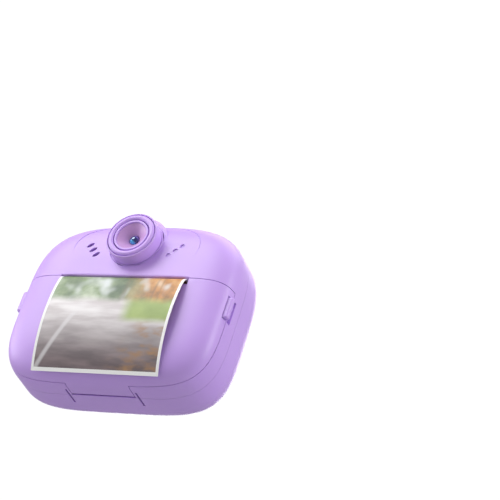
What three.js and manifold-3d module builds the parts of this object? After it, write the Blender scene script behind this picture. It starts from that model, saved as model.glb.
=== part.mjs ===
// Kids' instant-print camera: a pillow-shaped plastic camera with a screen and buttons on the
// back, and a drop-down paper door, thermal printer and short lens barrel on the front.
// Millimetres. +X is to the right seen from the front, -Y is the front, +Z is up.
// The origin is on the flat underside, below the widest section of the body.
import * as THREE from 'three';
import { mergeVertices } from 'three/addons/utils/BufferGeometryUtils.js';
import Module from 'manifold-3d';

const wasm = await Module();
wasm.setup();

// ---- driving dimensions ------------------------------------------------------------------

const GAP = 0.3;                     // clearance between neighbouring solids
const WALL = 1.9;                    // moulded wall

// Body: superellipse outline in XZ, whose width and height shrink along Y by superellipses too.
const BODY = {
  halfWidth: 48.5, halfHeight: 40.3, centreZ: 39.7,
  topPower: 3.5, bottomPower: 4.6,
  frontDepth: 23.6, frontWidthPower: 7, frontHeightPower: 5,
  rearWidthDepth: 26.1, rearWidthPower: 2.16,
  rearHeightDepth: 20.9, rearHeightPower: 2.31,
};
const PARTING_Y = -7.1;              // front and rear casing meet here
const DOOR_Y = -15.2;                // plane of the door's side and bottom seam
const REAR_FACE_Y = 12.0;            // flat back of the rear casing

// Paper slot and door
const SLOT = { z: 48.2, halfWidth: 30.1, height: 1.5 };
const DOOR_SIDE = { z: 43.6, halfWidth: 54 };         // where the top seam reaches the sides
const HINGE = { y: -8.9, z: 2.6, knuckleR: 2.6, pinR: 0.9, halfWidth: 14.7, pinHalf: 18.8 };
const SLIT = { x: 16.2, width: 0.9, y0: -11, y1: -1.3 };
const LATCH = { z: 38.3, height: 10, barY0: -17.9, barY1: -15.5, plateY1: -12.6, outX: 49.6, travel: 1.5 };

// Lens
const LENS = { z: 65.2, frontY: -29.4, barrelR: 11.4, flangeR: 12.0, flangeY: -23.5, seatY: -15 };

// Display panel on the back
const PANEL = { z: 40, halfHeight: 25.9, midHalf: 40.6, cornerHalf: 38.2, cornerR: 4.2, y0: 11.1, y1: 12.7 };
const RIDGE = { width: 1.1, top: 13.6 };
const SCREEN = { x: 10, z: 40.1, width: 46.6, height: 35 };
const MIC = { x: -18.1, z: 64.4, r: 0.7 };
const SELFIE = { z: 70.2, mouthR: 3.1, lensR: 1.35 };

// Buttons: [name, x, z, half-length, half-width, turn of the long axis in degrees]
const BUTTON_X = -31.5;
const BUTTON_Z = 40.2;
const PETAL = { dx: 4.05, dz: 4.6, long: 3.7, short: 3.0 };
const ROUND = { dz: 16.8, long: 5.35, short: 4.6 };
const BUTTON = { back: 9.0, flangeY: 10.7, front: 14.2, travel: 0.8 };

// Printer
const PLATEN = { y: -15.5, z: 42.8, r: 3.6, halfLength: 28.4, shaftR: 1.0 };
const ROLL = { y: -7.4, z: 17.5, r: 11.25, coreR: 6, halfLength: 28.6 };
const PRINT_HALF_WIDTH = 29.3;
const GEAR = { module: 0.4, pinion: 12, reduction: 30, platen: 18, x0: 33, x1: 35 };
const REDUCTION_POS = { y: -7.5, z: PLATEN.z - 5.3 };
const PINION_POS = { y: 0.2, z: REDUCTION_POS.z - 3.36 };

// Board and sockets
const BOARD = { y0: 5.8, y1: 6.8 };
const USB = { y: 2.8, z: 36.2, width: 9.0, height: 3.3 };
const CARD = { y: 0.95, z: 52.4, width: 11, length: 15, thick: 1.0, outerX: -47.4 };
const SCREWS = [[36.4, 63], [-36.9, 63.4], [36.4, 17.4], [-36.9, 17.2]];

// ---- finishes ----------------------------------------------------------------------------

const finish = (color, roughness, metalness = 0) => ({ color, roughness, metalness });
const LILAC = finish(0xcbb0ee, 0.45);
const PINK_LILAC = finish(0xb98fc8, 0.5);
const CHARCOAL = finish(0x424442, 0.55);
const BLACK = finish(0x141416, 0.5);
const GLASS = finish(0x2a2a6a, 0.1);
const SCREEN_GLASS = finish(0x9fb59a, 0.15);
const STEEL = finish(0xb8bbc0, 0.35, 1);
const RUBBER = finish(0x2b2b2d, 0.85);
const BOARD_GREEN = finish(0x1f6b45, 0.5);
const WHITE = finish(0xf2f0ea, 0.8);
const WHITE_PLASTIC = finish(0xe6e4de, 0.5);
const FOIL = finish(0xc9ccd2, 0.4, 0.6);
const SILICONE = finish(0xdcd8dc, 0.7);

// ---- solids ------------------------------------------------------------------------------

/** Turn a three.js geometry into a manifold solid with its faces pointing out. */
function solid(geometry) {
  const bare = geometry.clone();
  bare.deleteAttribute('normal');
  bare.deleteAttribute('uv');
  const merged = mergeVertices(bare, 1e-4);
  const position = merged.attributes.position.array;
  const index = [];
  let volume = 0;
  const corner = (i) => new THREE.Vector3().fromArray(position, 3 * i);
  for (let i = 0; i < merged.index.count; i += 3) {
    const [a, b, c] = [0, 1, 2].map((k) => merged.index.getX(i + k));
    if (a === b || b === c || a === c) continue;
    index.push(a, b, c);
    volume += corner(a).dot(corner(b).cross(corner(c)));
  }
  if (volume < 0) index.reverse();
  return new wasm.Manifold(new wasm.Mesh({
    numProp: 3, vertProperties: Float32Array.from(position), triVerts: Uint32Array.from(index),
  }));
}

/** Turn a manifold solid back into a three.js geometry. */
function geometryOf(body) {
  const mesh = body.getMesh();
  const geometry = new THREE.BufferGeometry();
  geometry.setAttribute('position', new THREE.BufferAttribute(Float32Array.from(mesh.vertProperties), 3));
  geometry.setIndex(new THREE.BufferAttribute(Uint32Array.from(mesh.triVerts), 1));
  geometry.computeVertexNormals();
  return geometry;
}

const join = (...bodies) => bodies.reduce((all, one) => all.add(one));
const cut = (body, ...tools) => tools.reduce((rest, tool) => rest.subtract(tool), body);

/** A box between two corners. */
function block(x0, x1, y0, y1, z0, z1) {
  const box = new THREE.BoxGeometry(x1 - x0, y1 - y0, z1 - z0);
  return solid(box.translate((x0 + x1) / 2, (y0 + y1) / 2, (z0 + z1) / 2));
}

/** A round bar along X between x0 and x1. */
function barX(r, x0, x1, y, z, sides = 24) {
  const bar = new THREE.CylinderGeometry(r, r, x1 - x0, sides);
  return solid(bar.rotateZ(Math.PI / 2).translate((x0 + x1) / 2, y, z));
}

/** A round bar or cone along Y between y0 and y1. */
function barY(r0, r1, y0, y1, x, z, sides = 24) {
  const bar = new THREE.CylinderGeometry(r1, r0, y1 - y0, sides);
  return solid(bar.translate(x, (y0 + y1) / 2, z));
}

/** A flat shape drawn in XZ, extruded along Y between y0 and y1. */
function plate(shape, y0, y1, curveSegments = 12) {
  const slab = new THREE.ExtrudeGeometry(shape, { depth: y1 - y0, bevelEnabled: false, curveSegments });
  return solid(slab.rotateX(Math.PI / 2).translate(0, y1, 0));
}

/** A flat shape drawn in YZ, extruded along X between x0 and x1. */
function slice(shape, x0, x1, curveSegments = 12) {
  const slab = new THREE.ExtrudeGeometry(shape, { depth: x1 - x0, bevelEnabled: false, curveSegments });
  slab.rotateZ(Math.PI / 2);
  slab.rotateY(Math.PI / 2);
  return solid(slab.translate(x0, 0, 0));
}

/** A turned solid about an axis along Y through (x, z); the profile is [radius, y] points. */
function turned(profile, x, z, sides = 40) {
  const points = profile.map(([r, y]) => new THREE.Vector2(r, y));
  return solid(new THREE.LatheGeometry(points, sides).translate(x, 0, z));
}

function mesh(name, body, look, position = [0, 0, 0]) {
  const piece = new THREE.Mesh(geometryOf(body), new THREE.MeshStandardMaterial(look));
  piece.name = name;
  piece.position.set(...position);
  return piece;
}

// ---- body form ---------------------------------------------------------------------------

const BODY_SIDES = 48;

/** One outline of the body as [x, z] points, for a half-width, a half-height and scale factors. */
function outline(halfWidth, halfHeight, scaleX, scaleZ) {
  const points = [];
  for (let i = 0; i < BODY_SIDES; i += 1) {
    const angle = (2 * Math.PI * (i + 0.5)) / BODY_SIDES;
    const c = Math.cos(angle);
    const s = Math.sin(angle);
    const power = 2 / (s > 0 ? BODY.topPower : BODY.bottomPower);
    points.push([
      halfWidth * scaleX * Math.sign(c) * Math.abs(c) ** power,
      BODY.centreZ + halfHeight * scaleZ * Math.sign(s) * Math.abs(s) ** power,
    ]);
  }
  return points;
}

/** How far across a superellipse of the given power is, at a share of the way to its pole. */
const taper = (share, power) => (1 - share ** power) ** (1 / power);

/** The body's form, drawn in by `inset`, from its front pole to the plane rearY. */
function bodyForm(inset, rearY) {
  const halfWidth = BODY.halfWidth - inset;
  const halfHeight = BODY.halfHeight - inset;
  const rings = [0.999, 0.99, 0.955, 0.88, 0.72, 0.4, 0].map((share) => ({
    y: -(BODY.frontDepth - inset) * share,
    points: outline(halfWidth, halfHeight, taper(share, BODY.frontWidthPower), taper(share, BODY.frontHeightPower)),
  }));
  const rearSteps = 4;
  for (let i = 1; i <= rearSteps; i += 1) {
    const y = (rearY * i) / rearSteps;
    const sx = taper(y / BODY.rearWidthDepth, BODY.rearWidthPower);
    const sz = taper(y / BODY.rearHeightDepth, BODY.rearHeightPower);
    rings.push({ y, points: outline(halfWidth, halfHeight, sx, sz) });
  }
  const position = [];
  for (const ring of rings) for (const [x, z] of ring.points) position.push(x, ring.y, z);
  position.push(0, -(BODY.frontDepth - inset), BODY.centreZ, 0, rearY, BODY.centreZ);
  const index = [];
  const last = (rings.length - 1) * BODY_SIDES;
  const pole = rings.length * BODY_SIDES;
  for (let i = 0; i < BODY_SIDES; i += 1) {
    const j = (i + 1) % BODY_SIDES;
    for (let r = 0; r < rings.length - 1; r += 1) {
      const [a, b] = [r * BODY_SIDES, (r + 1) * BODY_SIDES];
      index.push(a + i, b + i, a + j, a + j, b + i, b + j);
    }
    index.push(pole, i, j, pole + 1, last + j, last + i);
  }
  const geometry = new THREE.BufferGeometry();
  geometry.setAttribute('position', new THREE.Float32BufferAttribute(position, 3));
  geometry.setIndex(index);
  return solid(geometry);
}

const everywhere = 70;
const aboveBase = block(-everywhere, everywhere, -everywhere, everywhere, 0, 100);
const outerForm = bodyForm(0, REAR_FACE_Y).intersect(aboveBase);
const innerForm = bodyForm(WALL, REAR_FACE_Y - WALL).intersect(
  block(-everywhere, everywhere, -everywhere, everywhere, WALL, 100));

/** The region in front of the casing that belongs to the door, shrunk or grown by `grow`. */
function doorRegion(grow) {
  const shape = new THREE.Shape();
  const top = SLOT.z + grow;
  const side = DOOR_SIDE.z + grow;
  shape.moveTo(-everywhere, -5);
  shape.lineTo(everywhere, -5);
  shape.lineTo(everywhere, side - 8);
  shape.lineTo(DOOR_SIDE.halfWidth, side - 1);
  shape.bezierCurveTo(DOOR_SIDE.halfWidth - 4, side + 4.5, SLOT.halfWidth + 12, top, SLOT.halfWidth, top);
  shape.lineTo(-SLOT.halfWidth, top);
  shape.bezierCurveTo(-SLOT.halfWidth - 12, top, -DOOR_SIDE.halfWidth + 4, side + 4.5, -DOOR_SIDE.halfWidth, side - 1);
  shape.lineTo(-everywhere, side - 8);
  const front = plate(shape, -60, DOOR_Y + grow, 10);
  const tab = block(-HINGE.halfWidth - grow, HINGE.halfWidth + grow, -20, HINGE.y + HINGE.knuckleR + 2 * grow, -5, 5.2 + grow);
  return join(front, tab);
}

// ---- panel outline -----------------------------------------------------------------------

/** The display panel's outline: straight top and bottom, bowed sides, round corners. */
function panelShape(grow) {
  const h = PANEL.halfHeight + grow;
  const w = PANEL.cornerHalf + grow;
  const bow = 2 * (PANEL.midHalf - PANEL.cornerHalf);
  const r = PANEL.cornerR + grow;
  const z = PANEL.z;
  const shape = new THREE.Shape();
  shape.moveTo(-w + r, z - h);
  shape.lineTo(w - r, z - h);
  shape.quadraticCurveTo(w, z - h, w + 0.3, z - h + r);
  shape.quadraticCurveTo(w + bow, z, w + 0.3, z + h - r);
  shape.quadraticCurveTo(w, z + h, w - r, z + h);
  shape.lineTo(-w + r, z + h);
  shape.quadraticCurveTo(-w, z + h, -w - 0.3, z + h - r);
  shape.quadraticCurveTo(-w - bow, z, -w - 0.3, z - h + r);
  shape.quadraticCurveTo(-w, z - h, -w + r, z - h);
  return shape;
}

/** An ellipse in XZ about (x, z) with its long axis turned by `turn` degrees from +X. */
function oval(x, z, long, short, turn) {
  const shape = new THREE.Shape();
  shape.absellipse(x, z, long, short, 0, 2 * Math.PI, false, THREE.MathUtils.degToRad(turn));
  return shape;
}

const BUTTONS = [
  ['shutter_button', BUTTON_X, BUTTON_Z + ROUND.dz, ROUND.long, ROUND.short, 90],
  ['power_button', BUTTON_X, BUTTON_Z - ROUND.dz, ROUND.long, ROUND.short, 90],
  ['video_button', BUTTON_X + PETAL.dx, BUTTON_Z + PETAL.dz, PETAL.long, PETAL.short, 48],
  ['up_button', BUTTON_X - PETAL.dx, BUTTON_Z + PETAL.dz, PETAL.long, PETAL.short, 132],
  ['gallery_button', BUTTON_X + PETAL.dx, BUTTON_Z - PETAL.dz, PETAL.long, PETAL.short, 132],
  ['down_button', BUTTON_X - PETAL.dx, BUTTON_Z - PETAL.dz, PETAL.long, PETAL.short, 48],
];

// ---- casings -----------------------------------------------------------------------------

const screwBosses = (y0, y1, r) => SCREWS.map(([x, z]) => barY(r, r, y0, y1, x, z, 16));

/** The opening around one side latch, shared by the door and the casing. */
function latchWindow(side) {
  const x = side * 48.5;
  const h = LATCH.height / 2 + GAP;
  return block(x - 8, x + 8, LATCH.barY0 - GAP, LATCH.plateY1 + GAP, LATCH.z - h, LATCH.z + h);
}

function frontCasing() {
  let shell = cut(outerForm, innerForm);
  const keep = block(-everywhere, everywhere, -everywhere, PARTING_Y - GAP / 2, -1, 100);
  const bosses = SCREWS.map(([x, z]) => {
    const post = barY(2.3, 2.3, z > BODY.centreZ ? -22 : -13.5, PARTING_Y - GAP / 2, x, z, 16);
    const side = Math.sign(x) * 48;
    return join(post, block(Math.min(x, side), Math.max(x, side), -13, PARTING_Y - GAP / 2, z - 0.8, z + 0.8));
  });
  shell = join(shell.intersect(keep), join(...bosses).intersect(outerForm));
  shell = cut(shell, doorRegion(0.15), ...SCREWS.map(([x, z]) => barY(1.15, 1.15, -12.6, 0, x, z, 16)));
  const lensHole = barY(LENS.flangeR + GAP, LENS.flangeR + GAP, -40, LENS.seatY + 0.5, 0, LENS.z, 48);
  const seat = cut(
    barY(LENS.flangeR + 1.6, LENS.flangeR + 1.6, -30, LENS.seatY + 2, 0, LENS.z, 48),
    barY(8.6, 8.6, -40, 0, 0, LENS.z, 32)).intersect(outerForm);
  shell = cut(join(shell, seat), lensHole);
  for (const k of [-1, 0, 1]) {
    shell = cut(shell, plate(oval(-19.6 + 2.25 * k, 61.8 - 2.5 * k, 1.85, 0.85, 38), -40, -12, 8));
    shell = cut(shell, barY(1.25, 1.25, -40, -21.3, 19.2 + 2.47 * k, 62 + 2.47 * k, 16));
  }
  const slits = [-1, 1].map((side) => block(
    side * SLIT.x - SLIT.width / 2, side * SLIT.x + SLIT.width / 2, SLIT.y0, SLIT.y1, -1, WALL + 1));
  const cheeks = [-1, 1].map((side) => block(
    side * 18.2 - 0.9, side * 18.2 + 0.9, HINGE.y - 2.6, PARTING_Y - GAP / 2, 1, HINGE.z + 2.2));
  shell = cut(join(shell, ...cheeks), ...slits, latchWindow(-1), latchWindow(1),
    barX(HINGE.pinR + 0.05, -HINGE.pinHalf - 0.3, HINGE.pinHalf + 0.3, HINGE.y, HINGE.z));
  return shell;
}

function rearCasing() {
  const keep = block(-everywhere, everywhere, PARTING_Y + GAP / 2, 60, -1, 100);
  let shell = cut(outerForm, innerForm).intersect(keep);
  const ridge = plate(panelShape(RIDGE.width + 0.2), REAR_FACE_Y - 1.5, RIDGE.top, 12);
  const bump = barY(7.2, 4.1, REAR_FACE_Y - 1.5, RIDGE.top - 0.4, 0, SELFIE.z, 32);
  shell = join(shell, ridge, bump, ...screwBosses(PARTING_Y + GAP / 2, REAR_FACE_Y - 1, 2.3)
    .map((boss) => boss.intersect(outerForm)));
  shell = cut(shell, plate(panelShape(0.2), PANEL.y0 - 0.25, 60, 12));
  const shelf = new THREE.Shape();
  shelf.moveTo(-34.2, PANEL.z - PANEL.halfHeight + 1.6);
  for (const [x, z] of [[34.2, -1], [34.2, -0.72], [38.4, -0.72], [38.4, 0.72], [34.2, 0.72], [34.2, 1],
    [-34.2, 1], [-34.2, 0.72], [-38.4, 0.72], [-38.4, -0.72], [-34.2, -0.72]]) {
    shelf.lineTo(x, PANEL.z + z * (PANEL.halfHeight - 1.6));
  }
  const rims = BUTTONS.map(([, x, z, long, short, turn]) => plate(oval(x, z, long + 0.95, short + 0.95, turn), 9.6, 30, 6));
  shell = cut(shell, plate(shelf, 9.6, 30), ...rims);
  shell = cut(shell,
    barY(MIC.r, MIC.r, 5, 30, MIC.x, MIC.z, 12),
    barY(SELFIE.lensR + GAP, SELFIE.mouthR, 9.6, RIDGE.top - 0.3, 0, SELFIE.z, 32),
    barY(SELFIE.lensR + GAP, SELFIE.lensR + GAP, 7, 9.8, 0, SELFIE.z, 24),
    ...SCREWS.map(([x, z]) => join(
      barY(1.15, 1.15, -20, 20, x, z, 16), barY(2.0, 2.0, REAR_FACE_Y - 3.4, 20, x, z, 16))),
    block(-60, -42, CARD.y - 0.8, CARD.y + 0.8, CARD.z - CARD.width / 2 - 0.4, CARD.z + CARD.width / 2 + 0.4),
    block(-60, -42, USB.y - 1.95, USB.y + 1.95, USB.z - 4.8, USB.z + 4.8),
    barX(0.6, -60, -40, 6.2, 17.8, 12),
    ...[-1, 1].map((side) => block(
      side * SLIT.x - SLIT.width / 2, side * SLIT.x + SLIT.width / 2, SLIT.y0, SLIT.y1, -1, WALL + 1)),
    block(-HINGE.halfWidth - 0.15, HINGE.halfWidth + 0.15, -10, HINGE.y + HINGE.knuckleR + 0.4, -2, 5.4));
  const scoop = new THREE.SphereGeometry(9, 24, 16).translate(-56.1, CARD.y + 1, CARD.z);
  return cut(shell, solid(scoop));
}

// ---- door, hinge and latches -------------------------------------------------------------

function paperDoor() {
  const region = doorRegion(-0.15);
  const skin = cut(outerForm, innerForm).intersect(region);
  const knuckle = barX(HINGE.knuckleR, -HINGE.halfWidth + 0.15, HINGE.halfWidth - 0.15, HINGE.y, HINGE.z, 32);
  const web = block(-HINGE.halfWidth + 0.15, HINGE.halfWidth - 0.15, DOOR_Y - 4, HINGE.y, 0, 4)
    .intersect(bodyForm(0.25, REAR_FACE_Y).intersect(aboveBase));
  const arms = [-1, 1].map((side) => block(
    side * 30 - 0.7, side * 30 + 0.7, -22.2, PLATEN.y + 2.4, PLATEN.z - 3, PLATEN.z + 3).intersect(outerForm));
  const springSeats = [-1, 1].map((side) => block(
    side * 35.8 - 0.5, side * 35.8 + 0.5, -22.4, -15.4, LATCH.z - 1.9, LATCH.z + 1.9).intersect(outerForm));
  let door = join(skin, knuckle, web, ...arms, ...springSeats);
  const heel = cut(block(-20, 20, HINGE.y, HINGE.y + 6, -5, HINGE.z), knuckle);
  const mouth = block(-SLOT.halfWidth, SLOT.halfWidth, -40, DOOR_Y + 1, SLOT.z - SLOT.height, SLOT.z + 5);
  const lip = slice(new THREE.Shape([[-26, SLOT.z + 1.2], [-26, SLOT.z - 5.6], [-24.2, SLOT.z - 5.6],
    [-20.4, SLOT.z - SLOT.height], [-20.4, SLOT.z + 1.2]].map(([y, z]) => new THREE.Vector2(y, z))), -SLOT.halfWidth, SLOT.halfWidth);
  door = cut(door, heel, mouth, lip, latchWindow(-1), latchWindow(1),
    barX(HINGE.pinR + 0.1, -20, 20, HINGE.y, HINGE.z),
    barX(1.95, -32, 32, PLATEN.y, PLATEN.z, 24));
  return door.intersect(aboveBase);
}

/** A side latch: a recessed plate with a raised thumb bar and a hook behind the casing wall. */
function latch(side) {
  const h = LATCH.height / 2;
  const at = (x0, x1, y0, y1, z0, z1) => (side > 0
    ? block(x0, x1, y0, y1, z0, z1) : block(-x1, -x0, y0, y1, z0, z1));
  const bar = at(46, LATCH.outX, LATCH.barY0, LATCH.barY1, LATCH.z - h, LATCH.z + h);
  const foot = at(45.2, 47.2, LATCH.barY0, LATCH.plateY1, LATCH.z - h, LATCH.z + h);
  const hook = at(43.6, 45.4, -14.6, -11.4, LATCH.z - 3, LATCH.z + 3);
  const guide = at(40.6, 45.4, -17.6, -16.2, LATCH.z - 1.5, LATCH.z + 1.5);
  return join(bar, foot, hook, guide);
}

/** A compression spring under a latch, as a coil of wire along X. */
function latchSpring(side) {
  const turns = 4;
  const perTurn = 8;
  const [start, end] = [36.6, 40.3];
  const points = [];
  for (let i = 0; i <= turns * perTurn; i += 1) {
    const angle = (i / perTurn) * 2 * Math.PI;
    const x = start + ((end - start) * i) / (turns * perTurn);
    points.push(new THREE.Vector3(side * x, -16.9 + 1.1 * Math.cos(angle), LATCH.z + 1.1 * Math.sin(angle)));
  }
  const section = new THREE.Shape();
  section.absarc(0, 0, 0.22, 0, 2 * Math.PI);
  return solid(new THREE.ExtrudeGeometry(section, {
    steps: turns * perTurn, curveSegments: 3, bevelEnabled: false, extrudePath: new THREE.CatmullRomCurve3(points),
  }));
}

// ---- lens --------------------------------------------------------------------------------

function lensFlange() {
  const shape = new THREE.Shape();
  const lobes = 8;
  const steps = 64;
  for (let i = 0; i <= steps; i += 1) {
    const angle = (2 * Math.PI * i) / steps;
    const r = LENS.flangeR - 0.35 * (1 - Math.cos(lobes * angle)) / 2;
    shape[i ? 'lineTo' : 'moveTo'](r * Math.cos(angle), LENS.z + r * Math.sin(angle));
  }
  return cut(plate(shape, LENS.flangeY, LENS.seatY), barY(LENS.barrelR - 1.9, LENS.barrelR - 1.9, -40, 0, 0, LENS.z, 40));
}

function lensBarrel() {
  const R = LENS.barrelR;
  const f = LENS.frontY;
  return turned([
    [R - 2.2, LENS.seatY], [R - 2.2, LENS.flangeY - GAP], [R, LENS.flangeY - GAP], [R, f + 0.9], [R - 0.4, f + 0.1],
    [R - 0.85, f + 0.3], [R - 0.85, f + 1.6], [R - 3.4, f + 1.6], [R - 3.4, LENS.seatY], [R - 2.2, LENS.seatY],
  ], 0, LENS.z, 40);
}

function lensFrontRing() {
  const R = LENS.barrelR - 0.85 - GAP;
  const f = LENS.frontY;
  return turned([
    [R, f + 1.3], [R, f + 0.3], [R - 0.6, f - 0.4], [R - 1.3, f - 0.6], [R - 2.0, f - 0.2], [R - 2.4, f + 0.5],
    [R - 2.4, f + 1.3], [R, f + 1.3],
  ], 0, LENS.z, 40);
}

function lensCone() {
  const R = 7.5;
  const f = LENS.frontY;
  return turned([
    [R, f + 0.1], [R, f + 5.8], [1.0, f + 5.8], [1.0, f + 4.6], [2.4, f + 4.6], [2.4, f + 3.6], [R - 1, f + 0.1],
    [R - 0.8, f - 0.4], [R - 0.2, f - 0.4], [R, f + 0.1],
  ], 0, LENS.z, 40);
}

function lensGlass() {
  const f = LENS.frontY;
  return turned([[0, f + 2.3], [1.2, f + 2.6], [2.1, f + 3.4], [2.1, f + 4.3], [0, f + 4.3], [0, f + 2.3]], 0, LENS.z, 24);
}

// ---- gears, rollers and paper ------------------------------------------------------------

/** A spur gear with its axis along X, centred on the origin, with a round bore. */
function gear(teeth, bore, x0, x1, phase) {
  const m = GEAR.module;
  const pitch = (m * teeth) / 2;
  const [tip, root] = [pitch + 0.85 * m, pitch - 1.15 * m];
  const shape = new THREE.Shape();
  const step = (2 * Math.PI) / teeth;
  const profile = [[-0.26, root], [-0.13, tip], [0.13, tip], [0.26, root]];
  for (let i = 0; i < teeth; i += 1) {
    for (const [k, r] of profile) {
      const angle = phase + (i + k) * step;
      const first = i === 0 && k === profile[0][0];
      shape[first ? 'moveTo' : 'lineTo'](r * Math.cos(angle), r * Math.sin(angle));
    }
  }
  const hole = new THREE.Path();
  hole.absarc(0, 0, bore, 0, 2 * Math.PI, true);
  shape.holes.push(hole);
  return slice(shape, x0, x1, 10);
}

/** The turn that puts a tooth of the first gear in a gap of the second, both with axes along X. */
function meshPhase(from, to, fromTeeth, toTeeth, fromPhase) {
  const angle = Math.atan2(to.z - from.z, to.y - from.y);
  const along = ((angle - fromPhase) * fromTeeth) / (2 * Math.PI);
  const back = angle + Math.PI;
  return back + ((along + 0.5) * 2 * Math.PI) / toTeeth;
}

const printPath = () => {
  const curve = new THREE.CatmullRomCurve3([
    [-11.8, 46.6], [-13.6, 47.2], [-16.5, 47.45], [-20.2, 47.75], [-22.9, 47.65], [-24.7, 46.2], [-25.7, 42.8],
    [-26.5, 37.2], [-26.8, 31.0], [-26.6, 24.8], [-25.7, 18.6], [-24.2, 12.4], [-22.3, 7.0], [-20.2, 2.6],
  ].map(([y, z]) => new THREE.Vector3(0, y, z)));
  return curve.getPoints(30);
};

/** A thin sheet across X that follows a path in YZ. */
function sheet(path, halfWidth, thick) {
  const side = (sign) => path.map((p, i) => {
    const a = path[Math.max(i - 1, 0)];
    const b = path[Math.min(i + 1, path.length - 1)];
    const length = Math.hypot(b.y - a.y, b.z - a.z);
    return new THREE.Vector2(
      p.y - (sign * thick * (b.z - a.z)) / (2 * length), p.z + (sign * thick * (b.y - a.y)) / (2 * length));
  });
  return slice(new THREE.Shape([...side(1), ...side(-1).reverse()]), -halfWidth, halfWidth);
}

function paperBay() {
  const shape = new THREE.Shape();
  const [inner, outer] = [ROLL.r + 0.7, ROLL.r + 1.6];
  const [from, to] = [THREE.MathUtils.degToRad(-62), THREE.MathUtils.degToRad(88)];
  shape.absarc(ROLL.y, ROLL.z, outer, from, to, false);
  shape.absarc(ROLL.y, ROLL.z, inner, to, from, true);
  return slice(shape, -29.6, 29.6, 12);
}

function printerFrame() {
  const back = block(-32.2, 32.2, -5.6, -4.4, PLATEN.z - 6, PLATEN.z + 4.5);
  const left = block(-32.2, -31, -12, -4.4, PLATEN.z - 6, PLATEN.z + 4.5);
  const right = block(31, 32.2, -12, 3.4, PINION_POS.z - 10.5, PLATEN.z + 4.5);
  const axle = barX(1.0, 32, 35.4, REDUCTION_POS.y, REDUCTION_POS.z, 20);
  const posts = [-1, 1].map((side) => barX(1.1, 32, 35.5, PINION_POS.y, PINION_POS.z + side * 8.4, 16));
  const headPads = [-20, 20].map((x) => block(x - 2, x + 2, -9.1, -5, PLATEN.z - 1.5, PLATEN.z + 1.5));
  return join(back, left, right, axle, ...posts, ...headPads);
}

function stepperMotor() {
  const { y, z } = PINION_POS;
  const can = barX(5.9, 36.4, 45, y, z, 28);
  const ears = block(35.8, 36.6, y - 2.2, y + 2.2, z - 9.8, z + 9.8);
  const shaft = barX(0.7, 32.9, 36.6, y, z, 16);
  return join(can, ears, shaft);
}

// ---- electronics -------------------------------------------------------------------------

function mainBoard() {
  const board = block(-43.6, 33, BOARD.y0, BOARD.y1, 21.6, 59.4);
  const chips = [[-6, 44, 5], [8, 30, 4], [20, 46, 3.5]].map(([x, z, half]) => block(
    x - half, x + half, BOARD.y0 - 0.9, BOARD.y0 + 0.2, z - half, z + half));
  return join(board, ...chips);
}

function usbPort() {
  const body = block(-45.3, -38.4, USB.y - 1.65, BOARD.y0 - GAP, USB.z - 4.5, USB.z + 4.5);
  const mouth = block(-50, -40, USB.y - 1.3, USB.y + 1.3, USB.z - 4.1, USB.z + 4.1);
  const tongue = block(-44.6, -39.5, USB.y - 0.35, USB.y + 0.35, USB.z - 3.3, USB.z + 3.3);
  return join(cut(body, mouth), tongue);
}

function cardSocket() {
  const body = block(-43.8, -30, CARD.y - 1.5, BOARD.y0 - GAP, CARD.z - 6.9, CARD.z + 6.9);
  const pocket = block(-60, CARD.outerX + CARD.length + 0.6, CARD.y - 0.8, CARD.y + 0.8,
    CARD.z - CARD.width / 2 - 0.3, CARD.z + CARD.width / 2 + 0.3);
  return cut(body, pocket);
}

function memoryCard() {
  const [x0, x1] = [CARD.outerX, CARD.outerX + CARD.length];
  const [z0, z1] = [CARD.z - CARD.width / 2, CARD.z + CARD.width / 2];
  const shape = new THREE.Shape([[x0, z0], [x1, z0], [x1, z1 - 1.4], [x1 - 5.5, z1 - 1.4], [x1 - 6.6, z1], [x0, z1]]
    .map(([x, z]) => new THREE.Vector2(x, z)));
  return plate(shape, CARD.y - CARD.thick / 2, CARD.y + CARD.thick / 2);
}

function screw(x, z) {
  const seat = REAR_FACE_Y - 3.4;
  const shank = barY(0.95, 0.95, -11.5, seat + 0.2, x, z, 16);
  const head = barY(1.7, 1.7, seat + GAP, seat + 1.7, x, z, 20);
  const neck = barY(0.95, 0.95, seat, seat + 0.6, x, z, 16);
  const recess = join(
    block(x - 1.1, x + 1.1, seat + 1, seat + 3, z - 0.25, z + 0.25),
    block(x - 0.25, x + 0.25, seat + 1, seat + 3, z - 1.1, z + 1.1));
  return cut(join(shank, neck, head), recess);
}

// ---- assembly ----------------------------------------------------------------------------

const camera = new THREE.Group();

function addBody() {
  camera.add(mesh('front_casing', frontCasing(), LILAC));
  camera.add(mesh('rear_casing', rearCasing(), LILAC));
  SCREWS.forEach(([x, z], i) => camera.add(mesh(`case_screw_${i + 1}`, screw(x, z), STEEL)));
}

function addDoor() {
  camera.add(mesh('paper_door', paperDoor(), LILAC));
  camera.add(mesh('hinge_pin', barX(HINGE.pinR, -HINGE.pinHalf, HINGE.pinHalf, HINGE.y, HINGE.z), STEEL));
  for (const [word, side] of [['left', -1], ['right', 1]]) {
    camera.add(mesh(`latch_${word}`, latch(side), LILAC));
    camera.add(mesh(`latch_spring_${word}`, latchSpring(side), STEEL));
    const bush = cut(
      barX(1.85, side * 30 - 0.9, side * 30 + 0.9, PLATEN.y, PLATEN.z),
      barX(PLATEN.shaftR + 0.06, side * 30 - 2, side * 30 + 2, PLATEN.y, PLATEN.z));
    camera.add(mesh(`platen_bush_${word}`, bush, BLACK));
  }
}

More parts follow.
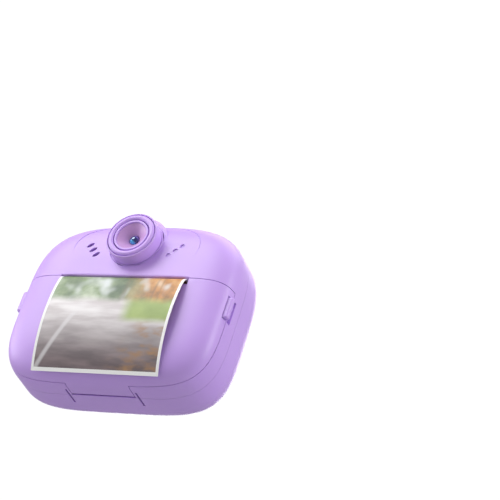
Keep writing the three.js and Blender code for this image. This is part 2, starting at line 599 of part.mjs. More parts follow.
function addLens() {
  camera.add(mesh('lens_base_ring', lensFlange(), LILAC));
  camera.add(mesh('lens_barrel', lensBarrel(), LILAC));
  camera.add(mesh('lens_front_ring', lensFrontRing(), LILAC));
  camera.add(mesh('lens_cone', lensCone(), PINK_LILAC));
  camera.add(mesh('lens_glass', lensGlass(), GLASS));
  const module = join(block(-4.5, 4.5, -15, -11.5, LENS.z - 4.5, LENS.z + 4.5),
    barY(3.2, 3.2, -22.4, -14.9, 0, LENS.z, 24));
  camera.add(mesh('front_camera_module', module, BLACK));
}

function addPrinter() {
  camera.add(mesh('printer_frame', printerFrame(), WHITE_PLASTIC));
  camera.add(mesh('print_head', block(-28.4, 28.4, -11.55, -9.4, PLATEN.z - 3.4, PLATEN.z + 3), STEEL));
  const tear = new THREE.Shape([[-12.2, 0.3], [-17.2, 0.3], [-17.8, 0.65], [-17.2, 1.0], [-12.2, 1.0]]
    .map(([y, rise]) => new THREE.Vector2(y, SLOT.z + rise)));
  camera.add(mesh('tear_bar', slice(tear, -29, 29), STEEL));
  camera.add(mesh('stepper_motor', stepperMotor(), STEEL));
  camera.add(mesh('paper_bay', paperBay(), LILAC));

  const roll = cut(barX(ROLL.r, -ROLL.halfLength, ROLL.halfLength, ROLL.y, ROLL.z, 48),
    barX(ROLL.coreR + GAP, -40, 40, ROLL.y, ROLL.z, 32));
  camera.add(mesh('paper_roll', roll, WHITE));
  const core = cut(barX(ROLL.coreR, -ROLL.halfLength, ROLL.halfLength, ROLL.y, ROLL.z, 32),
    barX(ROLL.coreR - 1.1, -40, 40, ROLL.y, ROLL.z, 32));
  camera.add(mesh('roll_core', core, WHITE_PLASTIC));

  const rubber = cut(barX(PLATEN.r, -PLATEN.halfLength, PLATEN.halfLength, PLATEN.y, PLATEN.z, 32),
    barX(PLATEN.shaftR + 0.3, -40, 40, PLATEN.y, PLATEN.z));
  camera.add(mesh('platen_roller', rubber, RUBBER));
  camera.add(mesh('platen_shaft', barX(PLATEN.shaftR, -31, GEAR.x1, PLATEN.y, PLATEN.z), STEEL));

  const centre = (at) => [0, at.y, at.z];
  const platenPhase = 0;
  const reductionPhase = meshPhase(PLATEN, REDUCTION_POS, GEAR.platen, GEAR.reduction, platenPhase);
  const pinionPhase = meshPhase(REDUCTION_POS, PINION_POS, GEAR.reduction, GEAR.pinion, reductionPhase);
  camera.add(mesh('platen_gear', gear(GEAR.platen, PLATEN.shaftR + 0.3, GEAR.x0, GEAR.x1, platenPhase),
    WHITE_PLASTIC, centre(PLATEN)));
  camera.add(mesh('reduction_gear', gear(GEAR.reduction, 1.06, GEAR.x0, GEAR.x1, reductionPhase),
    WHITE_PLASTIC, centre(REDUCTION_POS)));
  camera.add(mesh('motor_pinion', gear(GEAR.pinion, 1.0, GEAR.x0, GEAR.x1, pinionPhase),
    STEEL, centre(PINION_POS)));
  camera.add(mesh('print_sheet', sheet(printPath(), PRINT_HALF_WIDTH, 0.3), WHITE));
}

function addBack() {
  const holes = BUTTONS.map(([, x, z, long, short, turn]) => plate(
    oval(x, z, long + GAP, short + GAP, turn), 0, 30, 8));
  const { x, z, width, height } = SCREEN;
  const opening = (grow) => block(
    x - width / 2 - grow, x + width / 2 + grow, 0, 30, z - height / 2 - grow, z + height / 2 + grow);
  camera.add(mesh('display_panel', cut(plate(panelShape(-0.1), PANEL.y0, PANEL.y1, 12), opening(GAP), ...holes,
    barY(MIC.r, MIC.r, 5, 30, MIC.x, MIC.z, 12)), CHARCOAL));
  camera.add(mesh('lcd_window', opening(0).intersect(block(-90, 90, PANEL.y0 + 0.2, PANEL.y1 - 0.1, 0, 90)), SCREEN_GLASS));
  camera.add(mesh('lcd_module', block(x - 25.4, x + 23.9, 7.2, 10.7, z - 19.5, z + 19.5), BLACK));
  for (const [name, bx, bz, long, short, turn] of BUTTONS) {
    const cap = plate(oval(bx, bz, long, short, turn), BUTTON.back, BUTTON.front - 0.5, 8);
    const crown = plate(oval(bx, bz, long - 0.35, short - 0.35, turn), BUTTON.front - 0.6, BUTTON.front, 8);
    const rim = plate(oval(bx, bz, long + 0.65, short + 0.65, turn), BUTTON.flangeY - 0.9, BUTTON.flangeY, 8);
    camera.add(mesh(name, join(cap, crown, rim), LILAC));
  }
  camera.add(mesh('keypad_sheet', block(-39, -23, BOARD.y1 + GAP, 7.9, 18.6 + 3, 59.4), SILICONE));
  camera.add(mesh('microphone', barY(2, 2, 5.6, 8.9, MIC.x, MIC.z, 20), FOIL));
}

function addElectronics() {
  camera.add(mesh('main_board', mainBoard(), BOARD_GREEN));
  camera.add(mesh('battery', block(12.5, 32.4, -9.5, 4.2, 56, 70), FOIL));
  const speaker = join(barY(7, 7, -17.6, -15.2, -20.4, 62.4, 28), barY(4.6, 4.6, -15.4, -13.6, -20.4, 62.4, 24));
  camera.add(mesh('speaker', speaker, BLACK));
  camera.add(mesh('usb_port', usbPort(), STEEL));
  camera.add(mesh('card_socket', cardSocket(), STEEL));
  camera.add(mesh('memory_card', memoryCard(), BLACK));
  camera.add(mesh('selfie_camera_module', block(-3.6, 3.6, 3.2, 7.4, SELFIE.z - 3.6, SELFIE.z + 3.6), BLACK));
  const lens = turned([[0, 9.3], [0.9, 9.1], [SELFIE.lensR, 8.6], [SELFIE.lensR, 7.8], [0, 7.8], [0, 9.3]], 0, SELFIE.z, 20);
  camera.add(mesh('selfie_lens', lens, GLASS));
}

addBody();
addDoor();
addLens();
addPrinter();
addBack();
addElectronics();

export default camera;
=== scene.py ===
"""Finished surfaces, materials and studio for a kids' instant-print camera.

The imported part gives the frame: every piece below rides on one of its bodies and stands for one of its
nodes. Sizes in the classes are millimetres in the part's frame (+X right seen from the front, -Y front,
+Z up, origin under the base); MM turns them into metres.
"""

from __future__ import annotations

import logging
import math
from dataclasses import dataclass, field
from enum import Enum
from typing import Sequence

import bmesh
import bpy
import numpy as np
from mathutils import Matrix, Vector
from mathutils.bvhtree import BVHTree
from mathutils.interpolate import poly_3d_calc

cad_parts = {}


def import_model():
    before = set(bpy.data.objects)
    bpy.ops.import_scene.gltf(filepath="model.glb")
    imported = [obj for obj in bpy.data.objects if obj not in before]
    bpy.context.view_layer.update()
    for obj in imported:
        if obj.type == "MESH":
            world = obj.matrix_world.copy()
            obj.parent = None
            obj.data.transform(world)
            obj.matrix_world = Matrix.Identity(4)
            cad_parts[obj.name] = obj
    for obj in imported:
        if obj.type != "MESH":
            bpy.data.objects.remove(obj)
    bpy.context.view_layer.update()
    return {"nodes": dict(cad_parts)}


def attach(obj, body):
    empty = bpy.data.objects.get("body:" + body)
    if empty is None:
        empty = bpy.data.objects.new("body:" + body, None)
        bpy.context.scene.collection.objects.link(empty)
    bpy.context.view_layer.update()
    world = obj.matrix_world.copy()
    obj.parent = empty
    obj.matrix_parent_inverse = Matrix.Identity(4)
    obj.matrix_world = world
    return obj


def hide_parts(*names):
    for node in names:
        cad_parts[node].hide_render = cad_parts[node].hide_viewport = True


LOG = logging.getLogger("camera")
MM = 0.001

Pair = tuple[float, float]
Colour = tuple[float, float, float]


# ---- mesh tools ---------------------------------------------------------------------------


class Carve(Enum):
    """How one solid changes another."""

    CUT = "DIFFERENCE"
    JOIN = "UNION"
    KEEP = "INTERSECT"


def mesh_object(name: str, points: np.ndarray, faces: list[tuple[int, ...]]) -> bpy.types.Object:
    """Make a mesh object with its faces pointing out.

    Args:
        name: The object's name.
        points: (n, 3) positions in millimetres.
        faces: Vertex numbers of each face.

    Returns:
        The new object, linked to the scene.
    """
    mesh = bpy.data.meshes.new(name)
    mesh.from_pydata((np.asarray(points, float) * MM).tolist(), [], faces)
    body = bmesh.new()
    body.from_mesh(mesh)
    bmesh.ops.recalc_face_normals(body, faces=body.faces)
    body.to_mesh(mesh)
    body.free()
    obj = bpy.data.objects.new(name, mesh)
    bpy.context.scene.collection.objects.link(obj)
    return obj


def loft(name: str, rings: Sequence[np.ndarray], ends: bool = True) -> bpy.types.Object:
    """Skin a run of closed rings that have the same number of points.

    Args:
        name: The object's name.
        rings: (n, 3) arrays, one for each ring.
        ends: Close the first and last ring with a face; otherwise join the last ring to the first.

    Returns:
        The closed solid.
    """
    count = len(rings[0])
    faces: list[tuple[int, ...]] = []
    spans = len(rings) - 1 if ends else len(rings)
    for r in range(spans):
        a, b = r * count, ((r + 1) % len(rings)) * count
        faces += [(a + i, a + (i + 1) % count, b + (i + 1) % count, b + i) for i in range(count)]
    if ends:
        last = (len(rings) - 1) * count
        faces += [tuple(range(count - 1, -1, -1)), tuple(range(last, last + count))]
    return mesh_object(name, np.concatenate(rings), faces)


def prism_y(name: str, outline: Sequence[Pair], y0: float, y1: float) -> bpy.types.Object:
    """Extrude an XZ outline along Y between y0 and y1."""
    flat = np.array(outline, float)
    rings = [np.column_stack([flat[:, 0], np.full(len(flat), y), flat[:, 1]]) for y in (y0, y1)]
    return loft(name, rings)


def prism_x(name: str, outline: Sequence[Pair], x0: float, x1: float) -> bpy.types.Object:
    """Extrude a YZ outline along X between x0 and x1."""
    flat = np.array(outline, float)
    rings = [np.column_stack([np.full(len(flat), x), flat[:, 0], flat[:, 1]]) for x in (x0, x1)]
    return loft(name, rings)


def box(name: str, x: Pair, y: Pair, z: Pair) -> bpy.types.Object:
    """A block between two corners, used as a cutter or joined to other solids."""
    return prism_y(name, [(x[0], z[0]), (x[1], z[0]), (x[1], z[1]), (x[0], z[1])], *y)


def circle(cx: float, cz: float, r: float, steps: int = 48) -> list[Pair]:
    """Points round a circle."""
    turns = [2 * math.pi * i / steps for i in range(steps)]
    return [(cx + r * math.cos(a), cz + r * math.sin(a)) for a in turns]


def ellipse(cx: float, cz: float, long: float, short: float, turn: float, steps: int = 64) -> list[Pair]:
    """Points round an ellipse whose long axis is turned by `turn` degrees from +X."""
    c, s = math.cos(math.radians(turn)), math.sin(math.radians(turn))
    points = []
    for i in range(steps):
        a = 2 * math.pi * i / steps
        u, v = long * math.cos(a), short * math.sin(a)
        points.append((cx + u * c - v * s, cz + u * s + v * c))
    return points


def rounded(corners: Sequence[tuple[float, float, float]], steps: int = 6) -> list[Pair]:
    """Round the corners of a closed outline.

    Args:
        corners: (x, y, radius) of each corner.
        steps: Spans in each rounded corner.

    Returns:
        The outline's points.
    """
    points: list[Pair] = []
    for i, (x, y, r) in enumerate(corners):
        here = Vector((x, y))
        back = (Vector(corners[i - 1][:2]) - here).normalized()
        ahead = (Vector(corners[(i + 1) % len(corners)][:2]) - here).normalized()
        half = back.angle(ahead, math.pi) / 2
        if r <= 0 or half > math.radians(88):
            points.append((x, y))
            continue
        reach = r / math.tan(half)
        centre = here + (back + ahead).normalized() * (r / math.sin(half))
        start, end = here + back * reach - centre, here + ahead * reach - centre
        sweep = start.angle_signed(end)
        for k in range(steps + 1):
            turned = Matrix.Rotation(-sweep * k / steps, 2) @ start
            points.append((centre.x + turned.x, centre.y + turned.y))
    return points


def lathe(
    name: str,
    profile: Sequence[Pair],
    centre: Pair,
    steps: int = 160,
    lobes: tuple[int, float, float] | None = None,
) -> bpy.types.Object:
    """Turn a closed profile about an axis along Y.

    Args:
        name: The object's name.
        profile: (radius, y) points; it closes on itself.
        centre: X and Z of the axis.
        steps: Points round each ring.
        lobes: Number of scallops, their depth, and the radius outside which they apply.

    Returns:
        The turned solid.
    """
    angles = np.linspace(0, 2 * math.pi, steps, endpoint=False)
    rings = []
    for r, y in profile:
        radius = np.full(steps, max(r, 0.01))
        if lobes and r > lobes[2]:
            radius = radius - lobes[1] * (0.5 - 0.5 * np.cos(lobes[0] * angles)) ** 2
        x, z = centre[0] + radius * np.cos(angles), centre[1] + radius * np.sin(angles)
        rings.append(np.column_stack([x, np.full(steps, y), z]))
    return loft(name, rings, ends=False)


def lathe_x(name: str, profile: Sequence[Pair], centre: Pair, steps: int = 128) -> bpy.types.Object:
    """Turn a closed profile of (radius, x) points about an axis along X through (y, z)."""
    angles = np.linspace(0, 2 * math.pi, steps, endpoint=False)
    rings = [
        np.column_stack([np.full(steps, x), centre[0] + r * np.cos(angles), centre[1] + r * np.sin(angles)])
        for r, x in profile
    ]
    return loft(name, rings, ends=False)


def bar_y(name: str, r0: float, r1: float, y: Pair, centre: Pair, steps: int = 48) -> bpy.types.Object:
    """A round bar or cone along Y: radius r0 at the first y, r1 at the second."""
    rings = []
    for r, at in ((r0, y[0]), (r1, y[1])):
        flat = np.array(circle(centre[0], centre[1], r, steps))
        rings.append(np.column_stack([flat[:, 0], np.full(steps, at), flat[:, 1]]))
    return loft(name, rings)


def bar_x(name: str, r: float, x: Pair, centre: Pair, steps: int = 40) -> bpy.types.Object:
    """A round bar along X through (y, z)."""
    return prism_x(name, circle(centre[0], centre[1], r, steps), *x)


def ball(name: str, centre: Sequence[float], radii: Sequence[float]) -> bpy.types.Object:
    """An ellipsoid, used as a cutter."""
    body = bmesh.new()
    bmesh.ops.create_uvsphere(body, u_segments=32, v_segments=20, radius=1)
    points = np.array([v.co[:] for v in body.verts]) * np.array(radii) + np.array(centre)
    faces = [tuple(v.index for v in f.verts) for f in body.faces]
    body.free()
    return mesh_object(name, points, faces)


def tube(name: str, path: np.ndarray, radii: Sequence[float], sides: int = 10) -> bpy.types.Object:
    """A round tube whose radius changes along an open path.

    Args:
        name: The mesh's name.
        path: Points along the middle line.
        radii: The radius at each point.
        sides: Corners of each ring.

    Returns:
        The tube as one closed mesh.
    """
    ahead = np.gradient(path, axis=0)
    ahead /= np.linalg.norm(ahead, axis=1, keepdims=True)
    turns = [2 * math.pi * k / sides for k in range(sides)]
    rings = []
    for at, way, r in zip(path, ahead, radii):
        side = np.cross(way, (0, 1, 0))
        side /= np.linalg.norm(side)
        up = np.cross(side, way)
        rings.append(np.array([at + r * (math.cos(a) * side + math.sin(a) * up) for a in turns]))
    return loft(name, rings)


def settle(obj: bpy.types.Object) -> None:
    """Put the result of an object's modifiers into its mesh."""
    graph = bpy.context.evaluated_depsgraph_get()
    made = bpy.data.meshes.new_from_object(obj.evaluated_get(graph))
    obj.modifiers.clear()
    obj.data = made


def carve(obj: bpy.types.Object, how: Carve, *tools: bpy.types.Object) -> bpy.types.Object:
    """Cut, join or keep an object with other solids, which are then removed.

    Args:
        obj: The solid that changes.
        how: What the tools do to it.
        tools: The other solids.

    Returns:
        The same object.
    """
    for tool in tools:
        modifier = obj.modifiers.new("carve", "BOOLEAN")
        modifier.solver = "MANIFOLD"
        modifier.operation = how.value
        modifier.object = tool
    settle(obj)
    for tool in tools:
        bpy.data.objects.remove(tool)
    return obj


def bevel(obj: bpy.types.Object, width: float, segments: int = 3, angle: float = 40) -> bpy.types.Object:
    """Round every edge sharper than `angle` degrees, and keep the faces between them flat in shading."""
    modifier = obj.modifiers.new("bevel", "BEVEL")
    modifier.width = width * MM
    modifier.segments = segments
    modifier.limit_method = "ANGLE"
    modifier.angle_limit = math.radians(angle)
    settle(obj)
    shade(obj, 60)
    obj.modifiers.new("flat", "WEIGHTED_NORMAL").keep_sharp = True
    settle(obj)
    return obj


class Skin:
    """The uncut outer surface, which gives cut pieces of it the normals of the smooth form."""

    NEAR = 0.03 * MM
    ALIGNED = 0.85

    def __init__(self, obj: bpy.types.Object) -> None:
        """Read the smooth form's faces and normals from an object, then remove it."""
        mesh = obj.data
        self.points = [v.co.copy() for v in mesh.vertices]
        self.normals = [v.normal.copy() for v in mesh.vertices]
        self.faces = [tuple(p.vertices) for p in mesh.polygons]
        self.tree = BVHTree.FromPolygons(self.points, self.faces)
        bpy.data.objects.remove(obj)

    def front_point(self, x: float, z: float) -> np.ndarray:
        """The point on the front of the form at (x, z), in millimetres."""
        hit = self.tree.ray_cast(Vector((x * MM, -0.1, z * MM)), Vector((0, 1, 0)))[0]
        return np.array(hit) / MM

    def normal_at(self, point: Vector) -> Vector:
        """The smooth form's normal at its point nearest to `point`."""
        where, _, face, _ = self.tree.find_nearest(point)
        corners = self.faces[face]
        if len(corners) > 4:
            return self.normals[corners[0]]
        weights = poly_3d_calc([self.points[i] for i in corners], where)
        total = Vector((0, 0, 0))
        for weight, i in zip(weights, corners):
            total += self.normals[i] * weight
        return total.normalized()

    def dress(self, obj: bpy.types.Object, sharp: float = 32) -> None:
        """Shade an object smooth, with the form's own normals wherever it lies on the form.

        Args:
            obj: A solid cut from the form.
            sharp: Edges sharper than this many degrees stay crisp elsewhere.
        """
        mesh = obj.data
        mesh.shade_smooth()
        mesh.set_sharp_from_angle(angle=math.radians(sharp))
        known: dict[int, Vector] = {}
        normals = [Vector((0, 0, 0))] * len(mesh.loops)
        for face in mesh.polygons:
            _, way, _, distance = self.tree.find_nearest(face.center)
            if distance > self.NEAR or way.dot(face.normal) < self.ALIGNED:
                continue
            for loop in face.loop_indices:
                vertex = mesh.loops[loop].vertex_index
                if vertex not in known:
                    known[vertex] = self.normal_at(mesh.vertices[vertex].co)
                normals[loop] = known[vertex]
        mesh.normals_split_custom_set(normals)


def shade(obj: bpy.types.Object, sharp: float = 35) -> bpy.types.Object:
    """Shade an object smooth but for edges sharper than `sharp` degrees."""
    obj.data.shade_smooth()
    obj.data.set_sharp_from_angle(angle=math.radians(sharp))
    return obj


def place(
    obj: bpy.types.Object, body: str, slot: str, material: bpy.types.Material, *nodes: str
) -> bpy.types.Object:
    """Dress a piece and let it ride on its body in place of CAD nodes.

    Args:
        obj: The finished piece.
        body: The CAD body it rides on.
        slot: The record's material slot; not used.
        material: What it is made of.
        nodes: The CAD nodes it stands for.

    Returns:
        The same object.
    """
    obj.data.materials.clear()
    obj.data.materials.append(material)
    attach(obj, body)
    if nodes:
        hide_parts(*nodes)
    LOG.info("%s rides on %s for %s", obj.name, body, ", ".join(nodes) or "no node")
    return obj


# ---- shader tools --------------------------------------------------------------------------


class Graph:
    """Adds and joins the nodes of one shader tree."""

    def __init__(self, tree: bpy.types.NodeTree) -> None:
        """Work on a node tree."""
        self.tree = tree

    def add(self, kind: str, settings: dict | None = None, **inputs) -> bpy.types.Node:
        """Add a node.

        Args:
            kind: The node's type, without its ShaderNode prefix.
            settings: Properties of the node.
            inputs: Values or sockets by input name, with _ for a space.

        Returns:
            The node.
        """
        node = self.tree.nodes.new("ShaderNode" + kind)
        for key, value in (settings or {}).items():
            setattr(node, key, value)
        for key, value in inputs.items():
            self.feed(node.inputs[key.replace("_", " ")], value)
        return node

    def feed(self, socket: bpy.types.NodeSocket, value) -> None:
        """Link a socket to a socket, or set its value."""
        if isinstance(value, bpy.types.NodeSocket):
            self.tree.links.new(value, socket)
        elif isinstance(value, tuple) and len(value) == 3 and socket.type == "RGBA":
            socket.default_value = (*value, 1)
        else:
            socket.default_value = value

    def math(self, operation: str, a, b=0.0) -> bpy.types.NodeSocket:
        """One step of arithmetic on two numbers."""
        node = self.add("Math", {"operation": operation})
        self.feed(node.inputs[0], a)
        self.feed(node.inputs[1], b)
        return node.outputs[0]

    def mix(self, share, a, b, blend: str = "MIX") -> bpy.types.NodeSocket:
        """Mix two colours by a share."""
        node = self.add("Mix", {"data_type": "RGBA", "blend_type": blend})
        for index, value in ((0, share), (6, a), (7, b)):
            self.feed(node.inputs[index], value)
        return node.outputs[2]

    def ease(self, value, low: float, high: float, start: float = 0, end: float = 1) -> bpy.types.NodeSocket:
        """Smooth step of a value between low and high, from start to end."""
        node = self.add("MapRange", {"interpolation_type": "SMOOTHSTEP"}, Value=value)
        node.inputs["From Min"].default_value = low
        node.inputs["From Max"].default_value = high
        node.inputs["To Min"].default_value = start
        node.inputs["To Max"].default_value = end
        return node.outputs["Result"]

    def band(self, value, low: float, high: float, soft: float) -> bpy.types.NodeSocket:
        """One between low and high, fading to zero over `soft` outside."""
        rise = self.ease(value, low - soft, low + soft)
        fall = self.ease(value, high + soft, high - soft) if soft else self.math("LESS_THAN", value, high)
        return self.math("MULTIPLY", rise, fall)

    def noise(self, place, scale: float, detail: float = 3, stretch: Sequence[float] = (1, 1, 1)):
        """Noise in 0..1 at a place, which may be stretched along its axes."""
        spot = self.add("Mapping", None, Vector=place)
        spot.inputs["Scale"].default_value = stretch
        node = self.add("TexNoise", None, Vector=spot.outputs[0], Scale=scale, Detail=detail)
        return node.outputs["Fac"]

    def ramp(self, value, stops: Sequence[tuple[float, Colour]]) -> bpy.types.NodeSocket:
        """Colour by value, from stops of (position, colour)."""
        node = self.add("ValToRGB", None, Fac=value)
        while len(node.color_ramp.elements) < len(stops):
            node.color_ramp.elements.new(0.5)
        for element, (at, colour) in zip(node.color_ramp.elements, stops):
            element.position = at
            element.color = (*colour, 1)
        return node.outputs["Color"]


def new_group(
    name: str, inputs: dict[str, tuple[str, object]], outputs: dict[str, str]
) -> tuple[Graph, dict, dict]:
    """Start a shader node group.

    Args:
        name: The group's name.
        inputs: Type and first value of each input socket, by name.
        outputs: Type of each output socket, by name.

    Returns:
        The graph inside, the group's inputs by name as sockets, and its output node's inputs by name.
    """
    tree = bpy.data.node_groups.new(name, "ShaderNodeTree")
    for key, (kind, first) in inputs.items():
        socket = tree.interface.new_socket(name=key, in_out="INPUT", socket_type=kind)
        if first is not None:
            socket.default_value = first
    for key, kind in outputs.items():
        tree.interface.new_socket(name=key, in_out="OUTPUT", socket_type=kind)
    graph = Graph(tree)
    source = tree.nodes.new("NodeGroupInput")
    sink = tree.nodes.new("NodeGroupOutput")
    return graph, {k: source.outputs[k] for k in inputs}, {k: sink.inputs[k] for k in outputs}


def moulded_group() -> bpy.types.NodeTree:
    """Fine spark-eroded grain and slow changes of tone, as on moulded plastic.

    Returns:
        The group: colour, roughness and height over the surface.
    """
    graph, given, out = new_group(
        "MouldedGrain",
        {
            "Base": ("NodeSocketColor", (0.5, 0.5, 0.5, 1)),
            "Tone": ("NodeSocketFloat", 0.05),
            "Grain": ("NodeSocketFloat", 2600.0),
            "Smooth": ("NodeSocketFloat", 0.35),
            "Rough": ("NodeSocketFloat", 0.5),
        },
        {"Color": "NodeSocketColor", "Roughness": "NodeSocketFloat", "Height": "NodeSocketFloat"},
    )
    spot = graph.add("TexCoord").outputs["Object"]
    slow = graph.noise(spot, 28, 2)
    grain = graph.add("TexNoise", None, Vector=spot, Scale=given["Grain"], Detail=2.0).outputs["Fac"]
    darker = graph.mix(1.0, given["Base"], (0.86, 0.84, 0.9), "MULTIPLY")
    amount = graph.math("MULTIPLY", graph.ease(slow, 0.3, 0.7), graph.math("MULTIPLY", given["Tone"], 8))
    graph.feed(out["Color"], graph.mix(amount, given["Base"], darker))
    blend = graph.math("ADD", graph.math("MULTIPLY", slow, 0.5), graph.math("MULTIPLY", grain, 0.5))
    span = graph.math("SUBTRACT", given["Rough"], given["Smooth"])
    graph.feed(out["Roughness"], graph.math("ADD", given["Smooth"], graph.math("MULTIPLY", blend, span)))
    graph.feed(out["Height"], grain)
    return graph.tree


def brushed_group() -> bpy.types.NodeTree:
    """Fine drawn lines along X, as on rolled or turned metal.

    Returns:
        The group: colour, roughness and height over the surface.
    """
    graph, given, out = new_group(
        "DrawnMetal",
        {"Base": ("NodeSocketColor", (0.5, 0.5, 0.5, 1)), "Rough": ("NodeSocketFloat", 0.35)},
        {"Color": "NodeSocketColor", "Roughness": "NodeSocketFloat", "Height": "NodeSocketFloat"},
    )
    spot = graph.add("TexCoord").outputs["Object"]
    lines = graph.noise(spot, 900, 3, (0.08, 1, 1))
    stain = graph.noise(spot, 90, 3)
    dark = graph.mix(1.0, given["Base"], (0.72, 0.72, 0.74), "MULTIPLY")
    graph.feed(out["Color"], graph.mix(graph.ease(stain, 0.35, 0.75), given["Base"], dark))
    spread = graph.math("MULTIPLY", graph.math("SUBTRACT", lines, 0.5), 0.3)
    graph.feed(out["Roughness"], graph.math("ADD", given["Rough"], spread))
    graph.feed(out["Height"], lines)
    return graph.tree


def park_group() -> bpy.types.NodeTree:
    """An out-of-focus autumn park: trees, a lawn and a pale path, in a unit square.

    Returns:
        The group: the picture's colour at Place, whose X runs right and whose Y runs up.
    """
    graph, given, out = new_group(
        "ParkPicture", {"Place": ("NodeSocketVector", None)}, {"Color": "NodeSocketColor"}
    )
    place = given["Place"]
    axes = graph.add("SeparateXYZ", None, Vector=place)
    u, v = axes.outputs["X"], axes.outputs["Y"]

    leaves = graph.noise(place, 4.5, 4, (1, 1.2, 1))
    greens = graph.ramp(
        leaves, [(0.3, (0.08, 0.13, 0.07)), (0.5, (0.22, 0.3, 0.16)), (0.68, (0.5, 0.58, 0.42))]
    )
    autumn = graph.ramp(
        graph.noise(place, 6, 4, (1.2, 1, 1)),
        [(0.3, (0.22, 0.1, 0.03)), (0.48, (0.55, 0.24, 0.06)), (0.7, (0.78, 0.5, 0.22))],
    )
    wander = graph.math("MULTIPLY", graph.math("SUBTRACT", leaves, 0.5), 0.5)
    trees = graph.mix(graph.ease(graph.math("ADD", u, wander), 0.45, 0.9), greens, autumn)
    light = graph.ease(graph.noise(place, 8, 1, (1, 0.8, 1)), 0.48, 0.78)
    light = graph.math("MULTIPLY", light, graph.band(v, 0.56, 0.8, 0.08))
    trees = graph.mix(graph.math("MULTIPLY", light, 0.85), trees, (0.78, 0.82, 0.84))
    trunks = graph.ease(graph.noise(place, 9, 1, (1.6, 0.06, 1)), 0.56, 0.68)
    trunks = graph.math("MULTIPLY", trunks, graph.math("MULTIPLY", graph.ease(u, 0.5, 0.7), 0.7))
    trees = graph.mix(trunks, trees, (0.2, 0.12, 0.07))

    streaks = graph.noise(place, 4, 3, (0.7, 3, 1))
    far = graph.mix(graph.ease(streaks, 0.3, 0.7), (0.6, 0.55, 0.56), (0.85, 0.82, 0.83))
    near = graph.mix(graph.ease(streaks, 0.3, 0.7), (0.14, 0.11, 0.12), (0.26, 0.2, 0.21))
    path = graph.mix(graph.ease(v, 0.05, 0.52), near, far)
    lean = graph.math("SUBTRACT", u, graph.math("MULTIPLY", v, 0.52))
    marking = graph.math("MULTIPLY", graph.band(lean, 0.0, 0.035, 0.012), graph.ease(v, 0.6, 0.3))
    path = graph.mix(graph.math("MULTIPLY", marking, 0.6), path, (0.8, 0.78, 0.8))
    litter = graph.ease(graph.noise(place, 7, 2, (1, 2.2, 1)), 0.42, 0.75)
    corner = graph.ease(graph.math("SUBTRACT", u, graph.math("MULTIPLY", v, 0.5)), 0.5, 0.75)
    path = graph.mix(graph.math("MULTIPLY", litter, corner), path, (0.42, 0.24, 0.12))
    grass = graph.mix(leaves, (0.17, 0.26, 0.06), (0.5, 0.62, 0.2))
    lawn = graph.math("MULTIPLY", graph.ease(u, 0.58, 0.7), graph.ease(v, 0.36, 0.43))
    ground = graph.mix(lawn, path, grass)

    rise = graph.math("ADD", 0.55, graph.math("MULTIPLY", wander, 0.12))
    skyline = graph.ease(graph.math("SUBTRACT", v, rise), -0.03, 0.05)
    graph.feed(out["Color"], graph.mix(skyline, ground, trees))
    return graph.tree


# ---- finishes -------------------------------------------------------------------------------


def blank_material(name: str) -> tuple[bpy.types.Material, Graph, bpy.types.Node]:
    """A new node material, its graph and its Principled shader."""
    material = bpy.data.materials.new(name)
    material.use_nodes = True
    graph = Graph(material.node_tree)
    return material, graph, material.node_tree.nodes["Principled BSDF"]


@dataclass(frozen=True)
class Plastic:
    """Moulded plastic with a fine grain.

    tone is how far the colour wanders, low and high are the roughness span, depth the grain in microns.
    """

    name: str
    base: Colour
    tone: float = 0.05
    low: float = 0.34
    high: float = 0.46
    grain: float = 2600
    depth: float = 2.0
    coat: float = 0.0
    bleed: float = 0.0
    ior: float = 1.49

    def build(self, group: bpy.types.NodeTree) -> bpy.types.Material:
        """Make the material around the moulded-grain group.

        Args:
            group: The moulded-grain node group.

        Returns:
            The material.
        """
        material, graph, shader = blank_material(self.name)
        grain = graph.add("Group", {"node_tree": group})
        grain.inputs["Base"].default_value = (*self.base, 1)
        grain.inputs["Tone"].default_value = self.tone
        grain.inputs["Grain"].default_value = self.grain
        grain.inputs["Smooth"].default_value = self.low
        grain.inputs["Rough"].default_value = self.high
        bump = graph.add("Bump", None, Height=grain.outputs["Height"], Strength=0.6)
        bump.inputs["Distance"].default_value = self.depth * 1e-6
        graph.feed(shader.inputs["Base Color"], grain.outputs["Color"])
        graph.feed(shader.inputs["Roughness"], grain.outputs["Roughness"])
        graph.feed(shader.inputs["Normal"], bump.outputs["Normal"])
        shader.inputs["IOR"].default_value = self.ior
        shader.inputs["Coat Weight"].default_value = self.coat
        shader.inputs["Coat Roughness"].default_value = 0.12
        if self.bleed:
            shader.inputs["Subsurface Weight"].default_value = self.bleed
            shader.inputs["Subsurface Radius"].default_value = (1.0, 0.6, 1.0)
            shader.inputs["Subsurface Scale"].default_value = 0.0015
        return material


@dataclass(frozen=True)
class Metal:
    """Drawn, rolled or turned metal."""

    name: str
    base: Colour
    rough: float = 0.35
    metallic: float = 1.0

    def build(self, group: bpy.types.NodeTree) -> bpy.types.Material:
        """Make the material around the drawn-metal group."""
        material, graph, shader = blank_material(self.name)
        lines = graph.add("Group", {"node_tree": group})
        lines.inputs["Base"].default_value = (*self.base, 1)
        lines.inputs["Rough"].default_value = self.rough
        bump = graph.add("Bump", None, Height=lines.outputs["Height"], Strength=0.4)
        bump.inputs["Distance"].default_value = 3e-6
        graph.feed(shader.inputs["Base Color"], lines.outputs["Color"])
        graph.feed(shader.inputs["Roughness"], lines.outputs["Roughness"])
        graph.feed(shader.inputs["Normal"], bump.outputs["Normal"])
        shader.inputs["Metallic"].default_value = self.metallic
        return material


